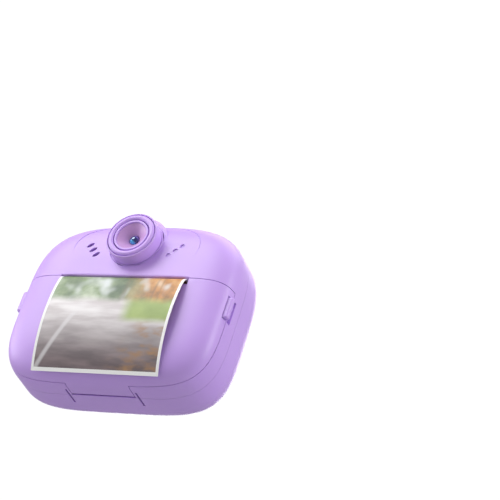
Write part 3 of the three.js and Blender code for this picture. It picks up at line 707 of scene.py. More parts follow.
@dataclass(frozen=True)
class PrintedPaper:
    """Coated paper with the park picture inside a white border.

    The UV map gives millimetres from the left edge and from the bottom edge, over width and height.
    """

    name: str
    width: float
    height: float
    side: float = 1.15
    foot: float = 1.5

    def build(self, park: bpy.types.NodeTree) -> bpy.types.Material:
        """Make the printed side and its border.

        Args:
            park: The node group that draws the picture.

        Returns:
            The material.
        """
        material, graph, shader = blank_material(self.name)
        uv = graph.add("TexCoord").outputs["UV"]
        axes = graph.add("SeparateXYZ", None, Vector=uv)
        x = graph.math("MULTIPLY", axes.outputs["X"], self.width)
        y = graph.math("MULTIPLY", axes.outputs["Y"], self.height)
        inside = graph.math("MULTIPLY", graph.band(x, self.side, self.width - self.side, 0.05),
                            graph.math("GREATER_THAN", y, self.foot))
        picture = graph.add("Group", {"node_tree": park})
        graph.feed(picture.inputs["Place"], uv)
        fibre = graph.noise(graph.add("TexCoord").outputs["Object"], 1500, 4)
        white = graph.mix(fibre, (0.9, 0.9, 0.89), (0.96, 0.96, 0.95))
        front = graph.add("NewGeometry").outputs["Backfacing"]
        printed = graph.mix(inside, white, picture.outputs["Color"])
        graph.feed(shader.inputs["Base Color"], graph.mix(front, printed, white))
        graph.feed(shader.inputs["Roughness"], graph.ease(fibre, 0.2, 0.8, 0.38, 0.55))
        bump = graph.add("Bump", None, Height=fibre, Strength=0.3)
        bump.inputs["Distance"].default_value = 4e-6
        graph.feed(shader.inputs["Normal"], bump.outputs["Normal"])
        return material


@dataclass(frozen=True)
class LitScreen:
    """A lit display behind clear plastic, showing the park picture."""

    name: str
    glow: float = 0.35

    def build(self, park: bpy.types.NodeTree) -> bpy.types.Material:
        """Make the screen's face.

        Args:
            park: The node group that draws the picture.

        Returns:
            The material.
        """
        material, graph, shader = blank_material(self.name)
        spot = graph.add("TexCoord")
        picture = graph.add("Group", {"node_tree": park})
        graph.feed(picture.inputs["Place"], spot.outputs["UV"])
        vivid = graph.add("HueSaturation", None, Saturation=1.25, Value=1.15, Color=picture.outputs["Color"])
        axes = graph.add("SeparateXYZ", None, Vector=spot.outputs["UV"])
        edge = graph.math(
            "MULTIPLY",
            graph.band(axes.outputs["X"], 0.012, 0.988, 0.002),
            graph.band(axes.outputs["Y"], 0.016, 0.984, 0.003),
        )
        face = graph.mix(edge, (0.004, 0.004, 0.005), vivid.outputs["Color"])
        smear = graph.noise(spot.outputs["Object"], 60, 4)
        graph.feed(shader.inputs["Base Color"], face)
        graph.feed(shader.inputs["Roughness"], graph.ease(smear, 0.3, 0.8, 0.16, 0.26))
        graph.feed(shader.inputs["Emission Color"], face)
        shader.inputs["Emission Strength"].default_value = self.glow
        shader.inputs["Coat Weight"].default_value = 0.4
        shader.inputs["Coat Roughness"].default_value = 0.05
        return material


@dataclass(frozen=True)
class LensGlassWithPaintedReflection:
    """A dark lens whose base colour carries a painted reflection: the rim colour towards the lower left and a
    painted pinkish highlight towards the upper right, set by position.
    """

    name: str
    deep: Colour
    # rim is the colour of the painted reflection towards the lower left of the glass.
    rim: Colour
    centre_z: float
    radius: float

    def build(self) -> bpy.types.Material:
        """Make the glass, with the painted reflection and the painted highlight in its base colour."""
        material, graph, shader = blank_material(self.name)
        spot = graph.add("TexCoord").outputs["Object"]
        axes = graph.add("SeparateXYZ", None, Vector=spot)
        # Position across the glass that places the painted reflection (lower left) and the painted highlight
        # (upper right).
        rise = graph.math("SUBTRACT", axes.outputs["Z"], self.centre_z * MM)
        painted_reflection_slope = graph.math(
            "ADD", graph.math("MULTIPLY", rise, 0.85), graph.math("MULTIPLY", axes.outputs["X"], 0.5))
        high = graph.math("DIVIDE", painted_reflection_slope, self.radius * MM)
        swirl = graph.noise(spot, 500, 2)
        # Painted reflection: the rim colour in the lower left, then a pinkish painted highlight in the upper
        # right, fixed by position and not by the lamps.
        glass_with_painted_reflection = graph.mix(graph.ease(high, -0.25, -0.6), self.deep, self.rim)
        glass_with_painted_reflection = graph.mix(graph.ease(high, 0.35, 0.75), glass_with_painted_reflection, (0.42, 0.2, 0.62))
        graph.feed(shader.inputs["Base Color"], glass_with_painted_reflection)
        graph.feed(shader.inputs["Roughness"], graph.ease(swirl, 0.2, 0.8, 0.03, 0.07))
        shader.inputs["IOR"].default_value = 1.9
        shader.inputs["Coat Weight"].default_value = 1.0
        shader.inputs["Coat Roughness"].default_value = 0.02
        shader.inputs["Coat Tint"].default_value = (0.6, 0.8, 1.0, 1)
        return material


@dataclass(frozen=True)
class WoundPaper:
    """Layers of thin paper about an axis along X through (y, z), in millimetres."""

    name: str
    y: float
    z: float
    layer: float = 0.25

    def build(self) -> bpy.types.Material:
        """Make the roll's paper."""
        material, graph, shader = blank_material(self.name)
        axes = graph.add("SeparateXYZ", None, Vector=graph.add("TexCoord").outputs["Object"])
        dy = graph.math("SUBTRACT", axes.outputs["Y"], self.y * MM)
        dz = graph.math("SUBTRACT", axes.outputs["Z"], self.z * MM)
        squares = graph.math("ADD", graph.math("MULTIPLY", dy, dy), graph.math("MULTIPLY", dz, dz))
        radius = graph.math("SQRT", squares)
        turns = graph.math("FRACT", graph.math("DIVIDE", radius, self.layer * MM))
        line = graph.band(turns, 0.2, 0.8, 0.15)
        graph.feed(shader.inputs["Base Color"], graph.mix(line, (0.7, 0.69, 0.66), (0.88, 0.87, 0.84)))
        graph.feed(shader.inputs["Roughness"], graph.ease(line, 0, 1, 0.75, 0.6))
        bump = graph.add("Bump", None, Height=line, Strength=0.4)
        bump.inputs["Distance"].default_value = 3e-5
        graph.feed(shader.inputs["Normal"], bump.outputs["Normal"])
        return material


class Finishes:
    """Every material of the camera, by the record's slot name and by its special uses."""

    LILAC: Colour = (0.59, 0.38, 0.88)

    def __init__(self) -> None:
        """Build the shared groups and each material once."""
        moulded, drawn, park = moulded_group(), brushed_group(), park_group()
        self.lilac = Plastic("LilacShell", self.LILAC, 0.04, 0.34, 0.44, bleed=0.12).build(moulded)
        self.pink = Plastic("PinkCone", (0.6, 0.35, 0.7), 0.06, 0.3, 0.42).build(moulded)
        self.ink = Plastic("IconInk", (0.2, 0.12, 0.28), 0.1, 0.5, 0.65).build(moulded)
        self.charcoal = Plastic(
            "CharcoalPanel", (0.052, 0.056, 0.053), 0.08, 0.42, 0.55, 3200, 3).build(moulded)
        self.printed = PrintedPaper("PrintedPaper", PrintSheet.half_width * 2, 54).build(park)
        self.screen = LitScreen("LitScreen").build(park)
        # Both lenses carry a painted reflection and highlight in their base colour.
        self.front_glass = LensGlassWithPaintedReflection("FrontLens", (0.008, 0.01, 0.16), (0.1, 0.6, 0.9), 65.2, 2.1).build()
        self.back_glass = LensGlassWithPaintedReflection(
            "BackLens", (0.004, 0.004, 0.008), (0.03, 0.05, 0.16), 70.2, 1.35).build()
        self.wound = WoundPaper("WoundPaper", PaperRoll.y, PaperRoll.z).build()
        self.slots = {
            "lilac_shell": self.lilac,
            "pink_cone": self.pink,
            "charcoal_panel": self.charcoal,
            "black_plastic": Plastic("BlackPlastic", (0.014, 0.014, 0.016), 0.1, 0.4, 0.55).build(moulded),
            "lens_glass": self.back_glass,
            "screen_glass": self.screen,
            "steel": Metal("Steel", (0.55, 0.56, 0.58), 0.32).build(drawn),
            "foil": Metal("Foil", (0.62, 0.64, 0.67), 0.4, 0.9).build(drawn),
            "rubber": Plastic("Rubber", (0.025, 0.025, 0.027), 0.2, 0.7, 0.9, 1800, 12).build(moulded),
            "white_plastic": Plastic("WhitePlastic", (0.79, 0.77, 0.73), 0.04, 0.4, 0.5).build(moulded),
            "thermal_paper": self.wound,
            "board_green": Plastic(
                "SolderMask", (0.02, 0.15, 0.06), 0.3, 0.2, 0.4, 700, 8, 0.5).build(moulded),
            "silicone": Plastic("Silicone", (0.7, 0.66, 0.7), 0.05, 0.5, 0.65, bleed=0.3).build(moulded),
        }


# ---- body ------------------------------------------------------------------------------------


@dataclass
class BodyForm:
    """The camera's pillow shape, with the raised rim of the display panel and the bump of the rear lens."""

    half_width: float = 48.5
    half_height: float = 40.3
    centre_z: float = 39.7
    top_power: float = 3.5
    bottom_power: float = 4.6
    front_depth: float = 23.6
    front_width_power: float = 7
    front_height_power: float = 5
    rear_width_depth: float = 26.1
    rear_width_power: float = 2.16
    rear_height_depth: float = 20.9
    rear_height_power: float = 2.31
    shoulder_y: float = 9.0
    back_y: float = 12.0
    wall: float = 1.9
    base_blend: float = 0.06
    bump: tuple[float, float, float] = (0.0, 70.2, 7.4)

    def outline(self, steps: int, inset: float, sx: float, sz: float) -> np.ndarray:
        """The outline's (x, z) points for an inset and two scale factors."""
        angle = 2 * math.pi * (np.arange(steps) + 0.5) / steps
        c, s = np.cos(angle), np.sin(angle)
        power = 2 / np.where(s > 0, self.top_power, self.bottom_power)
        x = (self.half_width - inset) * sx * np.sign(c) * np.abs(c) ** power
        z = self.centre_z + (self.half_height - inset) * sz * np.sign(s) * np.abs(s) ** power
        floor = inset
        z = floor + (z - floor + np.sqrt((z - floor) ** 2 + self.base_blend)) / 2
        return np.column_stack([x, z])

    @staticmethod
    def ring(flat: np.ndarray, y: float | np.ndarray) -> np.ndarray:
        """Stand an (x, z) outline up at y."""
        return np.column_stack([flat[:, 0], np.broadcast_to(y, len(flat)), flat[:, 1]])

    def front_rings(self, steps: int, inset: float, count: int) -> list[np.ndarray]:
        """Rings from the front pole to the widest section."""
        rings = []
        for i in range(1, count + 1):
            angle = math.pi / 2 * (i / count) ** 2.2
            share = math.cos(angle) ** (2 / self.front_width_power) if i < count else 0.0
            sx = math.sin(angle) ** (2 / self.front_width_power)
            sz = (1 - share**self.front_height_power) ** (1 / self.front_height_power)
            rings.append(self.ring(self.outline(steps, inset, sx, sz), -(self.front_depth - inset) * share))
        return rings

    def rear_rings(self, steps: int, inset: float, count: int, end: float) -> list[np.ndarray]:
        """Rings from just behind the widest section to y = end."""
        rings = []
        for i in range(1, count + 1):
            y = end * i / count
            sx = (1 - (y / self.rear_width_depth) ** self.rear_width_power) ** (1 / self.rear_width_power)
            sz = (1 - (y / self.rear_height_depth) ** self.rear_height_power) ** (1 / self.rear_height_power)
            rings.append(self.ring(self.outline(steps, inset, sx, sz), y))
        return rings

    def back_rings(self, steps: int, panel: PanelOutline) -> list[np.ndarray]:
        """Rings over the rounded shoulder, the shallow band and the rim, down into the panel's recess.

        Args:
            steps: Points on each ring.
            panel: The outline of the panel's recess.

        Returns:
            The rings in order from the shoulder to the recess.
        """
        shoulder = self.rear_rings(steps, 0, 1, self.shoulder_y)[0][:, (0, 2)]
        around = np.arctan2(shoulder[:, 1] - panel.centre_z, shoulder[:, 0])
        rim_foot = panel.polar(around, 2.6)
        reach = np.linalg.norm(rim_foot - shoulder, axis=1)
        drop = self.back_y - self.shoulder_y
        rings, y = [], np.zeros(steps)
        for share in np.linspace(0, 1, 30)[1:]:
            distance = share * reach
            y = self.back_y - drop * (1 - np.minimum(distance / 4.25, 1)) ** 1.7
            band = np.clip((distance - 3.2) / np.maximum(reach - 3.2, 0.1), 0, 1)
            y = y - 0.42 * np.sin(math.pi * band) ** 2 * np.clip((reach - 4) / 4, 0, 1)
            rings.append(self.ring(shoulder + share * (rim_foot - shoulder), y))
        for grow, share, height in panel.rim:
            rings.append(self.ring(panel.polar(around, grow), (1 - share) * y + share * height))
        return [self.with_bump(ring) for ring in rings[:-2]] + rings[-2:]

    def with_bump(self, ring: np.ndarray) -> np.ndarray:
        """Raise a ring's points where the rear lens stands in its flared bump."""
        cx, cz, foot = self.bump
        x, y, z = ring.T
        flare = 1 + 0.9 * np.clip((cz - z) / 5, 0, 1) ** 2
        distance = np.hypot((x - cx) / flare, z - cz)
        t = np.clip((foot - distance) / 3.3, 0, 1)
        lift = np.maximum(13.25 - y, 0) * t * t * (3 - 2 * t)
        return np.column_stack([x, y + lift, z])

    def outer(self, name: str, panel: PanelOutline, steps: int = 384) -> bpy.types.Object:
        """The whole outside as one closed solid."""
        rings = self.front_rings(steps, 0, 44) + self.rear_rings(steps, 0, 12, self.shoulder_y)
        return loft(name, rings + self.back_rings(steps, panel))

    def inner(self, name: str) -> bpy.types.Object:
        """The hollow inside as one closed solid."""
        rings = self.front_rings(96, self.wall, 18)
        return loft(name, rings + self.rear_rings(96, self.wall, 6, self.back_y - self.wall))


@dataclass
class PanelOutline:
    """The display panel's outline: straight top and bottom, bowed sides and round corners."""

    centre_z: float = 40
    half_height: float = 25.9
    mid_half: float = 40.6
    corner_half: float = 38.2
    corner_r: float = 4.2
    rim: tuple[tuple[float, float, float], ...] = (
        (2.1, 0.12, 12.6), (1.7, 0.45, 12.7), (1.42, 0.85, 12.9), (1.22, 1, 13.16), (1.0, 1, 13.34),
        (0.76, 1, 13.4), (0.52, 1, 13.34), (0.33, 1, 13.16), (0.22, 1, 12.9), (0.2, 1, 12.2), (0.2, 1, 10.85),
    )

    def points(self, grow: float, spans: int = 14) -> np.ndarray:
        """The outline's (x, z) points, grown outwards.

        Args:
            grow: Distance outwards, in millimetres.
            spans: Points on each curve of the outline.

        Returns:
            The closed outline's points in order.
        """
        h, w = self.half_height + grow, self.corner_half + grow
        bow = 2 * (self.mid_half - self.corner_half)
        r, out = self.corner_r + grow, 0.3
        quarter = [((w - r, -h), (w, -h), (w + out, -h + r)),
                   ((w + out, -h + r), (w + bow, 0), (w + out, h - r)),
                   ((w + out, h - r), (w, h), (w - r, h))]
        quarter += [tuple((-x, -z) for x, z in curve) for curve in quarter]
        t = np.linspace(0, 1, spans, endpoint=False)[:, None]
        runs = [(1 - t) ** 2 * np.array(a) + 2 * t * (1 - t) * np.array(b) + t * t * np.array(c)
                for a, b, c in quarter]
        ends = [np.array([curve[2]]) for curve in quarter]
        parts = [part for pair in zip(runs, ends) for part in pair]
        flat = np.concatenate(parts)
        keep = np.linalg.norm(flat - np.roll(flat, 1, axis=0), axis=1) > 1e-6
        return flat[keep] + (0, self.centre_z)

    @staticmethod
    def dense(flat: np.ndarray) -> np.ndarray:
        """Add points to a closed outline so that none is more than about 0.3 mm from the next."""
        runs = []
        for a, b in zip(flat, np.roll(flat, -1, axis=0)):
            count = max(1, int(np.linalg.norm(b - a) / 0.3))
            runs.append(a + (b - a) * np.arange(count)[:, None] / count)
        return np.concatenate(runs)

    def polar(self, angles: np.ndarray, grow: float) -> np.ndarray:
        """The outline's points in the given directions from its centre."""
        flat = self.dense(self.points(grow, 40)) - (0, self.centre_z)
        turn = np.unwrap(np.arctan2(flat[:, 1], flat[:, 0]))
        radius = np.hypot(flat[:, 0], flat[:, 1])
        start = turn[0]
        wanted = start + np.mod(angles - start, 2 * math.pi)
        r = np.interp(wanted, np.append(turn, turn[0] + 2 * math.pi), np.append(radius, radius[0]))
        return np.column_stack([r * np.cos(angles), self.centre_z + r * np.sin(angles)])


@dataclass
class Seams:
    """Where the casings, the door and the latches part."""

    parting_y: float = -7.1
    parting_gap: float = 0.06
    door_y: float = -15.2
    slot_z: float = 48.2
    slot_half: float = 30.1
    side_z: float = 43.6
    side_half: float = 54
    hinge: Pair = (-8.9, 2.6)
    knuckle_r: float = 2.6
    pin_r: float = 0.9
    tab_half: float = 14.7
    pin_half: float = 18.8
    slit_x: float = 16.2
    slit: tuple[float, float, float] = (0.9, -11.0, -1.3)
    latch_z: float = 38.3
    latch_height: float = 10
    latch_y: Pair = (-17.9, -12.6)

    def door_region(self, grow: float) -> bpy.types.Object:
        """The solid region that belongs to the door, grown or shrunk all round."""
        top, side, half = self.slot_z + grow, self.side_z + grow, self.side_half
        curve = np.array([(half, side - 1), (half - 4, side + 4.5),
                          (self.slot_half + 12, top), (self.slot_half, top)])
        t = np.linspace(0, 1, 28)[:, None]
        arc = ((1 - t) ** 3 * curve[0] + 3 * t * (1 - t) ** 2 * curve[1]
               + 3 * t**2 * (1 - t) * curve[2] + t**3 * curve[3])
        right = [(70, -5), (70, side - 8)] + [tuple(p) for p in arc]
        left = [(-x, z) for x, z in reversed(right)]
        region = prism_y("door_region", right + left, -60, self.door_y + grow)
        y1 = self.hinge[0] + self.knuckle_r + 2 * grow
        tab = box("tab", (-self.tab_half - grow, self.tab_half + grow), (-20, y1), (-5, 5.2 + grow))
        return carve(region, Carve.JOIN, tab)

    def latch_window(self, side: int) -> bpy.types.Object:
        """The opening round one latch."""
        gap = 0.3
        half = self.latch_height / 2 + gap
        z = (self.latch_z - half, self.latch_z + half)
        x = tuple(sorted((side * 40.5, side * 56.5)))
        return box("window", x, (self.latch_y[0] - gap, self.latch_y[1] + gap), z)

    def slits(self) -> list[bpy.types.Object]:
        """The two spring slits under the base, beside the hinge tab."""
        width, y0, y1 = self.slit
        return [
            box("slit", (side * self.slit_x - width / 2, side * self.slit_x + width / 2), (y0, y1), (-1, 2.9))
            for side in (-1, 1)
        ]


SCREWS: tuple[Pair, ...] = ((36.4, 63), (-36.9, 63.4), (36.4, 17.4), (-36.9, 17.2))


@dataclass
class FrontShell:
    """The front casing, with the face round the lens, the speaker holes and the dimples."""

    form: BodyForm
    seams: Seams
    lens_z: float = 65.2
    lens_hole: float = 12.06
    seat: tuple[float, float, float] = (13.6, 8.6, -14.5)
    oval: tuple[float, float, float, float] = (63.6, 29.4, 13.7, 2.4)
    groove: float = 0.3
    lip_r: float = 0.9

    def face_groove(self, skin: Skin) -> bpy.types.Object:
        """A fine groove that outlines the face over the lens and fades out at both sides."""
        turns = np.radians(np.linspace(-16, 196, 140))
        cz, long, short, power = self.oval
        c, s = np.cos(turns), np.sin(turns)
        across = long * np.sign(c) * np.abs(c) ** (2 / power)
        up = cz + short * np.sign(s) * np.abs(s) ** (2 / power)
        path = np.array([skin.front_point(x, z) for x, z in zip(across, up)])
        fade = np.clip(np.minimum(np.arange(140), np.arange(140)[::-1]) / 30, 0.1, 1)
        return tube("groove", path, self.groove * fade)

    def slot_lip(self) -> bpy.types.Object:
        """What is cut away to round the casing's edge over the paper slot."""
        bottom, front, r = self.seams.slot_z + 0.15, -self.form.front_depth, self.lip_r
        arc = [(front + 0.05 + r * (1 - math.cos(a)), bottom + r * (1 - math.sin(a)))
               for a in np.linspace(0, math.pi / 2, 9)]
        corner = [(front - 3, bottom - 0.6), (front - 3, bottom + r)]
        return prism_x("lip", corner + arc + [(front + 0.05 + r, bottom - 0.6)],
                       -self.seams.slot_half, self.seams.slot_half)

    def build(self, skin: Skin, outer: bpy.types.Object, finishes: Finishes) -> bpy.types.Object:
        """Cut the casing out of a copy of the outer form and dress it.

        Args:
            skin: The uncut outer form that lends its normals.
            outer: The outer form to cut; it becomes the piece.
            finishes: The shared materials.

        Returns:
            The front casing.
        """
        s = self.seams
        shell = outer
        shell.name = "front_shell"
        y1 = s.parting_y - s.parting_gap
        carve(shell, Carve.CUT, self.form.inner("inner"))
        posts = []
        for x, z in SCREWS:
            high = z > self.form.centre_z
            posts.append(bar_y("post", 2.3, 2.3, (-19.6 if high else -13.5, y1), (x, z), 24))
            side = math.copysign(45.2 if high else 46.2, x)
            posts.append(box("rib", (min(x, side), max(x, side)), (-13, y1 - 0.1), (z - 0.8, z + 0.8)))
        seat = bar_y("seat", self.seat[0], self.seat[0], (-22.6, -13.2), (0, self.lens_z), 96)
        carve(seat, Carve.CUT, bar_y("bore", self.seat[1], self.seat[1], (-40, 0), (0, self.lens_z)))
        cheeks = [box("cheek", (side * 18.2 - 0.9, side * 18.2 + 0.9), (s.hinge[0] - 2.6, y1),
                      (1, s.hinge[1] + 2.2))
                  for side in (-1, 1)]
        carve(shell, Carve.JOIN, seat, *cheeks, *posts)
        carve(shell, Carve.KEEP, box("front_half", (-70, 70), (-60, y1), (-2, 100)))
        tools = [s.door_region(0.15), bar_y("lens_hole", self.lens_hole, self.lens_hole, (-40, self.seat[2]),
                                            (0, self.lens_z), 160)]
        for k in (-1, 0, 1):
            hole = ellipse(-19.6 + 2.25 * k, 61.8 - 2.5 * k, 1.85, 0.85, 38, 40)
            tools.append(prism_y("speaker_hole", hole, -40, -12))
            x, z = 19.2 + 2.47 * k, 62 + 2.47 * k
            tools.append(bar_y("dimple", 1.2, 1.05, (-40, skin.front_point(x, z)[1] + 0.5), (x, z), 40))
        tools += [self.face_groove(skin), self.slot_lip(), s.latch_window(-1), s.latch_window(1), *s.slits()]
        tools += [bar_y("screw_bore", 1.15, 1.15, (-12.6, 0), at, 24) for at in SCREWS]
        tools.append(bar_x("pin_bore", s.pin_r + 0.05, (-s.pin_half - 0.3, s.pin_half + 0.3), s.hinge))
        carve(shell, Carve.CUT, *tools)
        skin.dress(shell)
        return place(shell, "camera_body", "lilac_shell", finishes.lilac, "front_casing")


@dataclass
class RearShell:
    """The rear casing, with the panel's rim, the rear lens's recess and the side sockets."""

    form: BodyForm
    seams: Seams
    panel: PanelOutline
    keys: list[Key]
    mic: tuple[float, float, float] = (-18.1, 64.4, 0.7)
    lens_z: float = 70.2
    lens_r: float = 1.65
    mouth_r: float = 3.1
    card: tuple[float, float, float] = (0.95, 52.4, 11)
    usb: tuple[float, float, float, float] = (2.8, 36.2, 1.95, 4.8)
    reset: Pair = (6.2, 17.8)

    def shelf(self) -> bpy.types.Object:
        """The opening inside the recess, stepped round the screw posts."""
        h = self.panel.half_height - 1.6
        steps = ((34.2, -1), (34.2, -0.72), (38.4, -0.72), (38.4, 0.72), (34.2, 0.72), (34.2, 1))
        right = [(x, self.panel.centre_z + k * h) for x, k in steps]
        return prism_y("shelf", right + [(-x, z) for x, z in reversed(right)], 9.6, 30)

    def build(self, skin: Skin, outer: bpy.types.Object, finishes: Finishes) -> bpy.types.Object:
        """Cut the casing out of a copy of the outer form and dress it.

        Args:
            skin: The uncut outer form that lends its normals.
            outer: The outer form to cut; it becomes the piece.
            finishes: The shared materials.

        Returns:
            The rear casing.
        """
        s = self.seams
        shell = outer
        shell.name = "rear_shell"
        y0 = s.parting_y + s.parting_gap
        carve(shell, Carve.CUT, self.form.inner("inner"))
        posts = [bar_y("post", 2.3, 2.3, (y0, self.form.back_y - 1.4), at, 24) for at in SCREWS]
        carve(shell, Carve.JOIN, *posts)
        carve(shell, Carve.KEEP, box("rear_half", (-70, 70), (y0, 60), (-2, 100)))
        seat = self.form.back_y - 3.4
        cy, cz, wide = self.card
        uy, uz, thin, tall = self.usb
        port = rounded([(uy - thin, uz - tall, 1.6), (uy + thin, uz - tall, 1.6), (uy + thin, uz + tall, 1.6),
                        (uy - thin, uz + tall, 1.6)])
        tools = [self.shelf(), bar_y("mic", self.mic[2], self.mic[2], (5, 30), self.mic[:2], 24),
                 bar_y("lens_cone", self.lens_r, self.mouth_r + 0.12, (9.6, 13.6), (0, self.lens_z), 64),
                 bar_y("lens_bore", self.lens_r, self.lens_r, (7, 9.8), (0, self.lens_z)),
                 box("card_slot", (-60, -42), (cy - 0.8, cy + 0.8),
                     (cz - wide / 2 - 0.4, cz + wide / 2 + 0.4)),
                 prism_x("port", port, -60, -42), bar_x("reset", 0.6, (-60, -40), self.reset, 24),
                 ball("scoop", (-56.1, cy + 1, cz), (9, 9, 9)), *s.slits(),
                 bar_x("tab_room", s.knuckle_r + 0.3, (-s.tab_half - 0.15, s.tab_half + 0.15), s.hinge, 64),
                 box("tab_room", (-s.tab_half - 0.15, s.tab_half + 0.15), (-10, s.hinge[0]), (-2, 5.4))]
        tools += [prism_y("key_room", ellipse(k.x, k.z, k.long + 0.95, k.short + 0.95, k.turn), 9.6, 30)
                  for k in self.keys]
        for at in SCREWS:
            tools += [bar_y("screw_bore", 1.15, 1.15, (-20, 20), at, 24),
                      bar_y("screw_seat", 2.0, 2.0, (seat, 20), at, 24)]
        carve(shell, Carve.CUT, *tools)
        skin.dress(shell)
        return place(shell, "camera_body", "lilac_shell", finishes.lilac, "rear_casing")


@dataclass
class PaperDoor:
    """The drop-down door: a convex skin, its hinge tab and knuckle, and the platen's arms."""

    form: BodyForm
    seams: Seams
    platen: Pair = (-15.5, 42.8)
    scoop: tuple[float, float, float] = (-20.2, 42.9, 3.8)

    def scoop_cut(self) -> bpy.types.Object:
        """What is cut away so that the paper leaves over a round edge."""
        y, z, r = self.scoop
        arc = [(y - r * math.sin(a), z + r * math.cos(a)) for a in np.linspace(0, math.pi / 2 * 0.98, 16)]
        outline = [(self.seams.door_y + 1.2, z + 8), (self.seams.door_y + 1.2, z + r)] + arc
        outline += [(-28, z - 0.5), (-28, z + 8)]
        return prism_x("scoop", outline, -self.seams.slot_half, self.seams.slot_half)

    def build(self, skin: Skin, outer: bpy.types.Object, finishes: Finishes) -> bpy.types.Object:
        """Cut the door out of a copy of the outer form and dress it.

        Args:
            skin: The uncut outer form that lends its normals.
            outer: The outer form to cut; it becomes the piece.
            finishes: The shared materials.

        Returns:
            The door.
        """
        s = self.seams
        door = outer
        door.name = "door_shell"
        carve(door, Carve.CUT, self.form.inner("inner"))
        carve(door, Carve.KEEP, s.door_region(-0.15))
        y, z = self.platen
        knuckle = bar_x("knuckle", s.knuckle_r, (-s.tab_half + 0.15, s.tab_half - 0.15), s.hinge, 64)
        web = box("web", (-s.tab_half + 0.15, s.tab_half - 0.15), (s.door_y - 1.2, s.hinge[0]), (1.6, 3.6))
        arms = [box("arm", (side * 30 - 0.7, side * 30 + 0.7), (-22.2, y + 2.4), (z - 3, z + 3))
                for side in (-1, 1)]
        seats = [box("spring_seat", (side * 35.8 - 0.5, side * 35.8 + 0.5), (-22.2, -15.4),
                     (s.latch_z - 1.9, s.latch_z + 1.9)) for side in (-1, 1)]
        carve(door, Carve.JOIN, knuckle, web, *arms, *seats)
        heel = box("heel", (-20, 20), (s.hinge[0], s.hinge[0] + 6), (-5, s.hinge[1]))
        carve(heel, Carve.CUT, bar_x("round", s.knuckle_r, (-30, 30), s.hinge, 64))
        carve(door, Carve.CUT, heel, self.scoop_cut(), s.latch_window(-1), s.latch_window(1),
              bar_x("pin_bore", s.pin_r + 0.1, (-20, 20), s.hinge),
              bar_x("bush_bore", 1.95, (-32, 32), self.platen))
        skin.dress(door)
        return place(door, "paper_door", "lilac_shell", finishes.lilac, "paper_door")


@dataclass
class SideLatch:
    """A side latch: a rounded thumb bar on a recessed foot, with its hook and spring guide."""

    seams: Seams
    side: int
    out_x: float = 49.6
    bar_y1: float = -15.3

    def build(self, finishes: Finishes) -> bpy.types.Object:
        """Make the latch and let it ride on its own body.

        Args:
            finishes: The shared materials.

        Returns:
            The latch.
        """
        word = "right" if self.side > 0 else "left"
        s, h = self.seams, self.seams.latch_height / 2

        def at(x: Pair, y: Pair, z: Pair, name: str) -> bpy.types.Object:
            """A block mirrored to this latch's side."""
            return box(name, tuple(sorted((self.side * x[0], self.side * x[1]))), y, z)

        bar = at((46, self.out_x), (s.latch_y[0], self.bar_y1), (s.latch_z - h, s.latch_z + h),
                 f"thumb_latch_{word}")
        bevel(bar, 0.85, 5)
        foot = at((45.2, 47.3), s.latch_y, (s.latch_z - h + 0.02, s.latch_z + h - 0.02), "foot")
        bevel(foot, 0.3, 2)
        hook = at((43.6, 45.6), (-14.6, -11.4), (s.latch_z - 3, s.latch_z + 3), "hook")
        guide = at((40.6, 45.6), (-17.6, -16.2), (s.latch_z - 1.5, s.latch_z + 1.5), "guide")
        carve(bar, Carve.JOIN, foot, hook, guide)
        shade(bar)
        return place(bar, f"latch_{word}", "lilac_shell", finishes.lilac, f"latch_{word}")


# ---- lens ------------------------------------------------------------------------------------


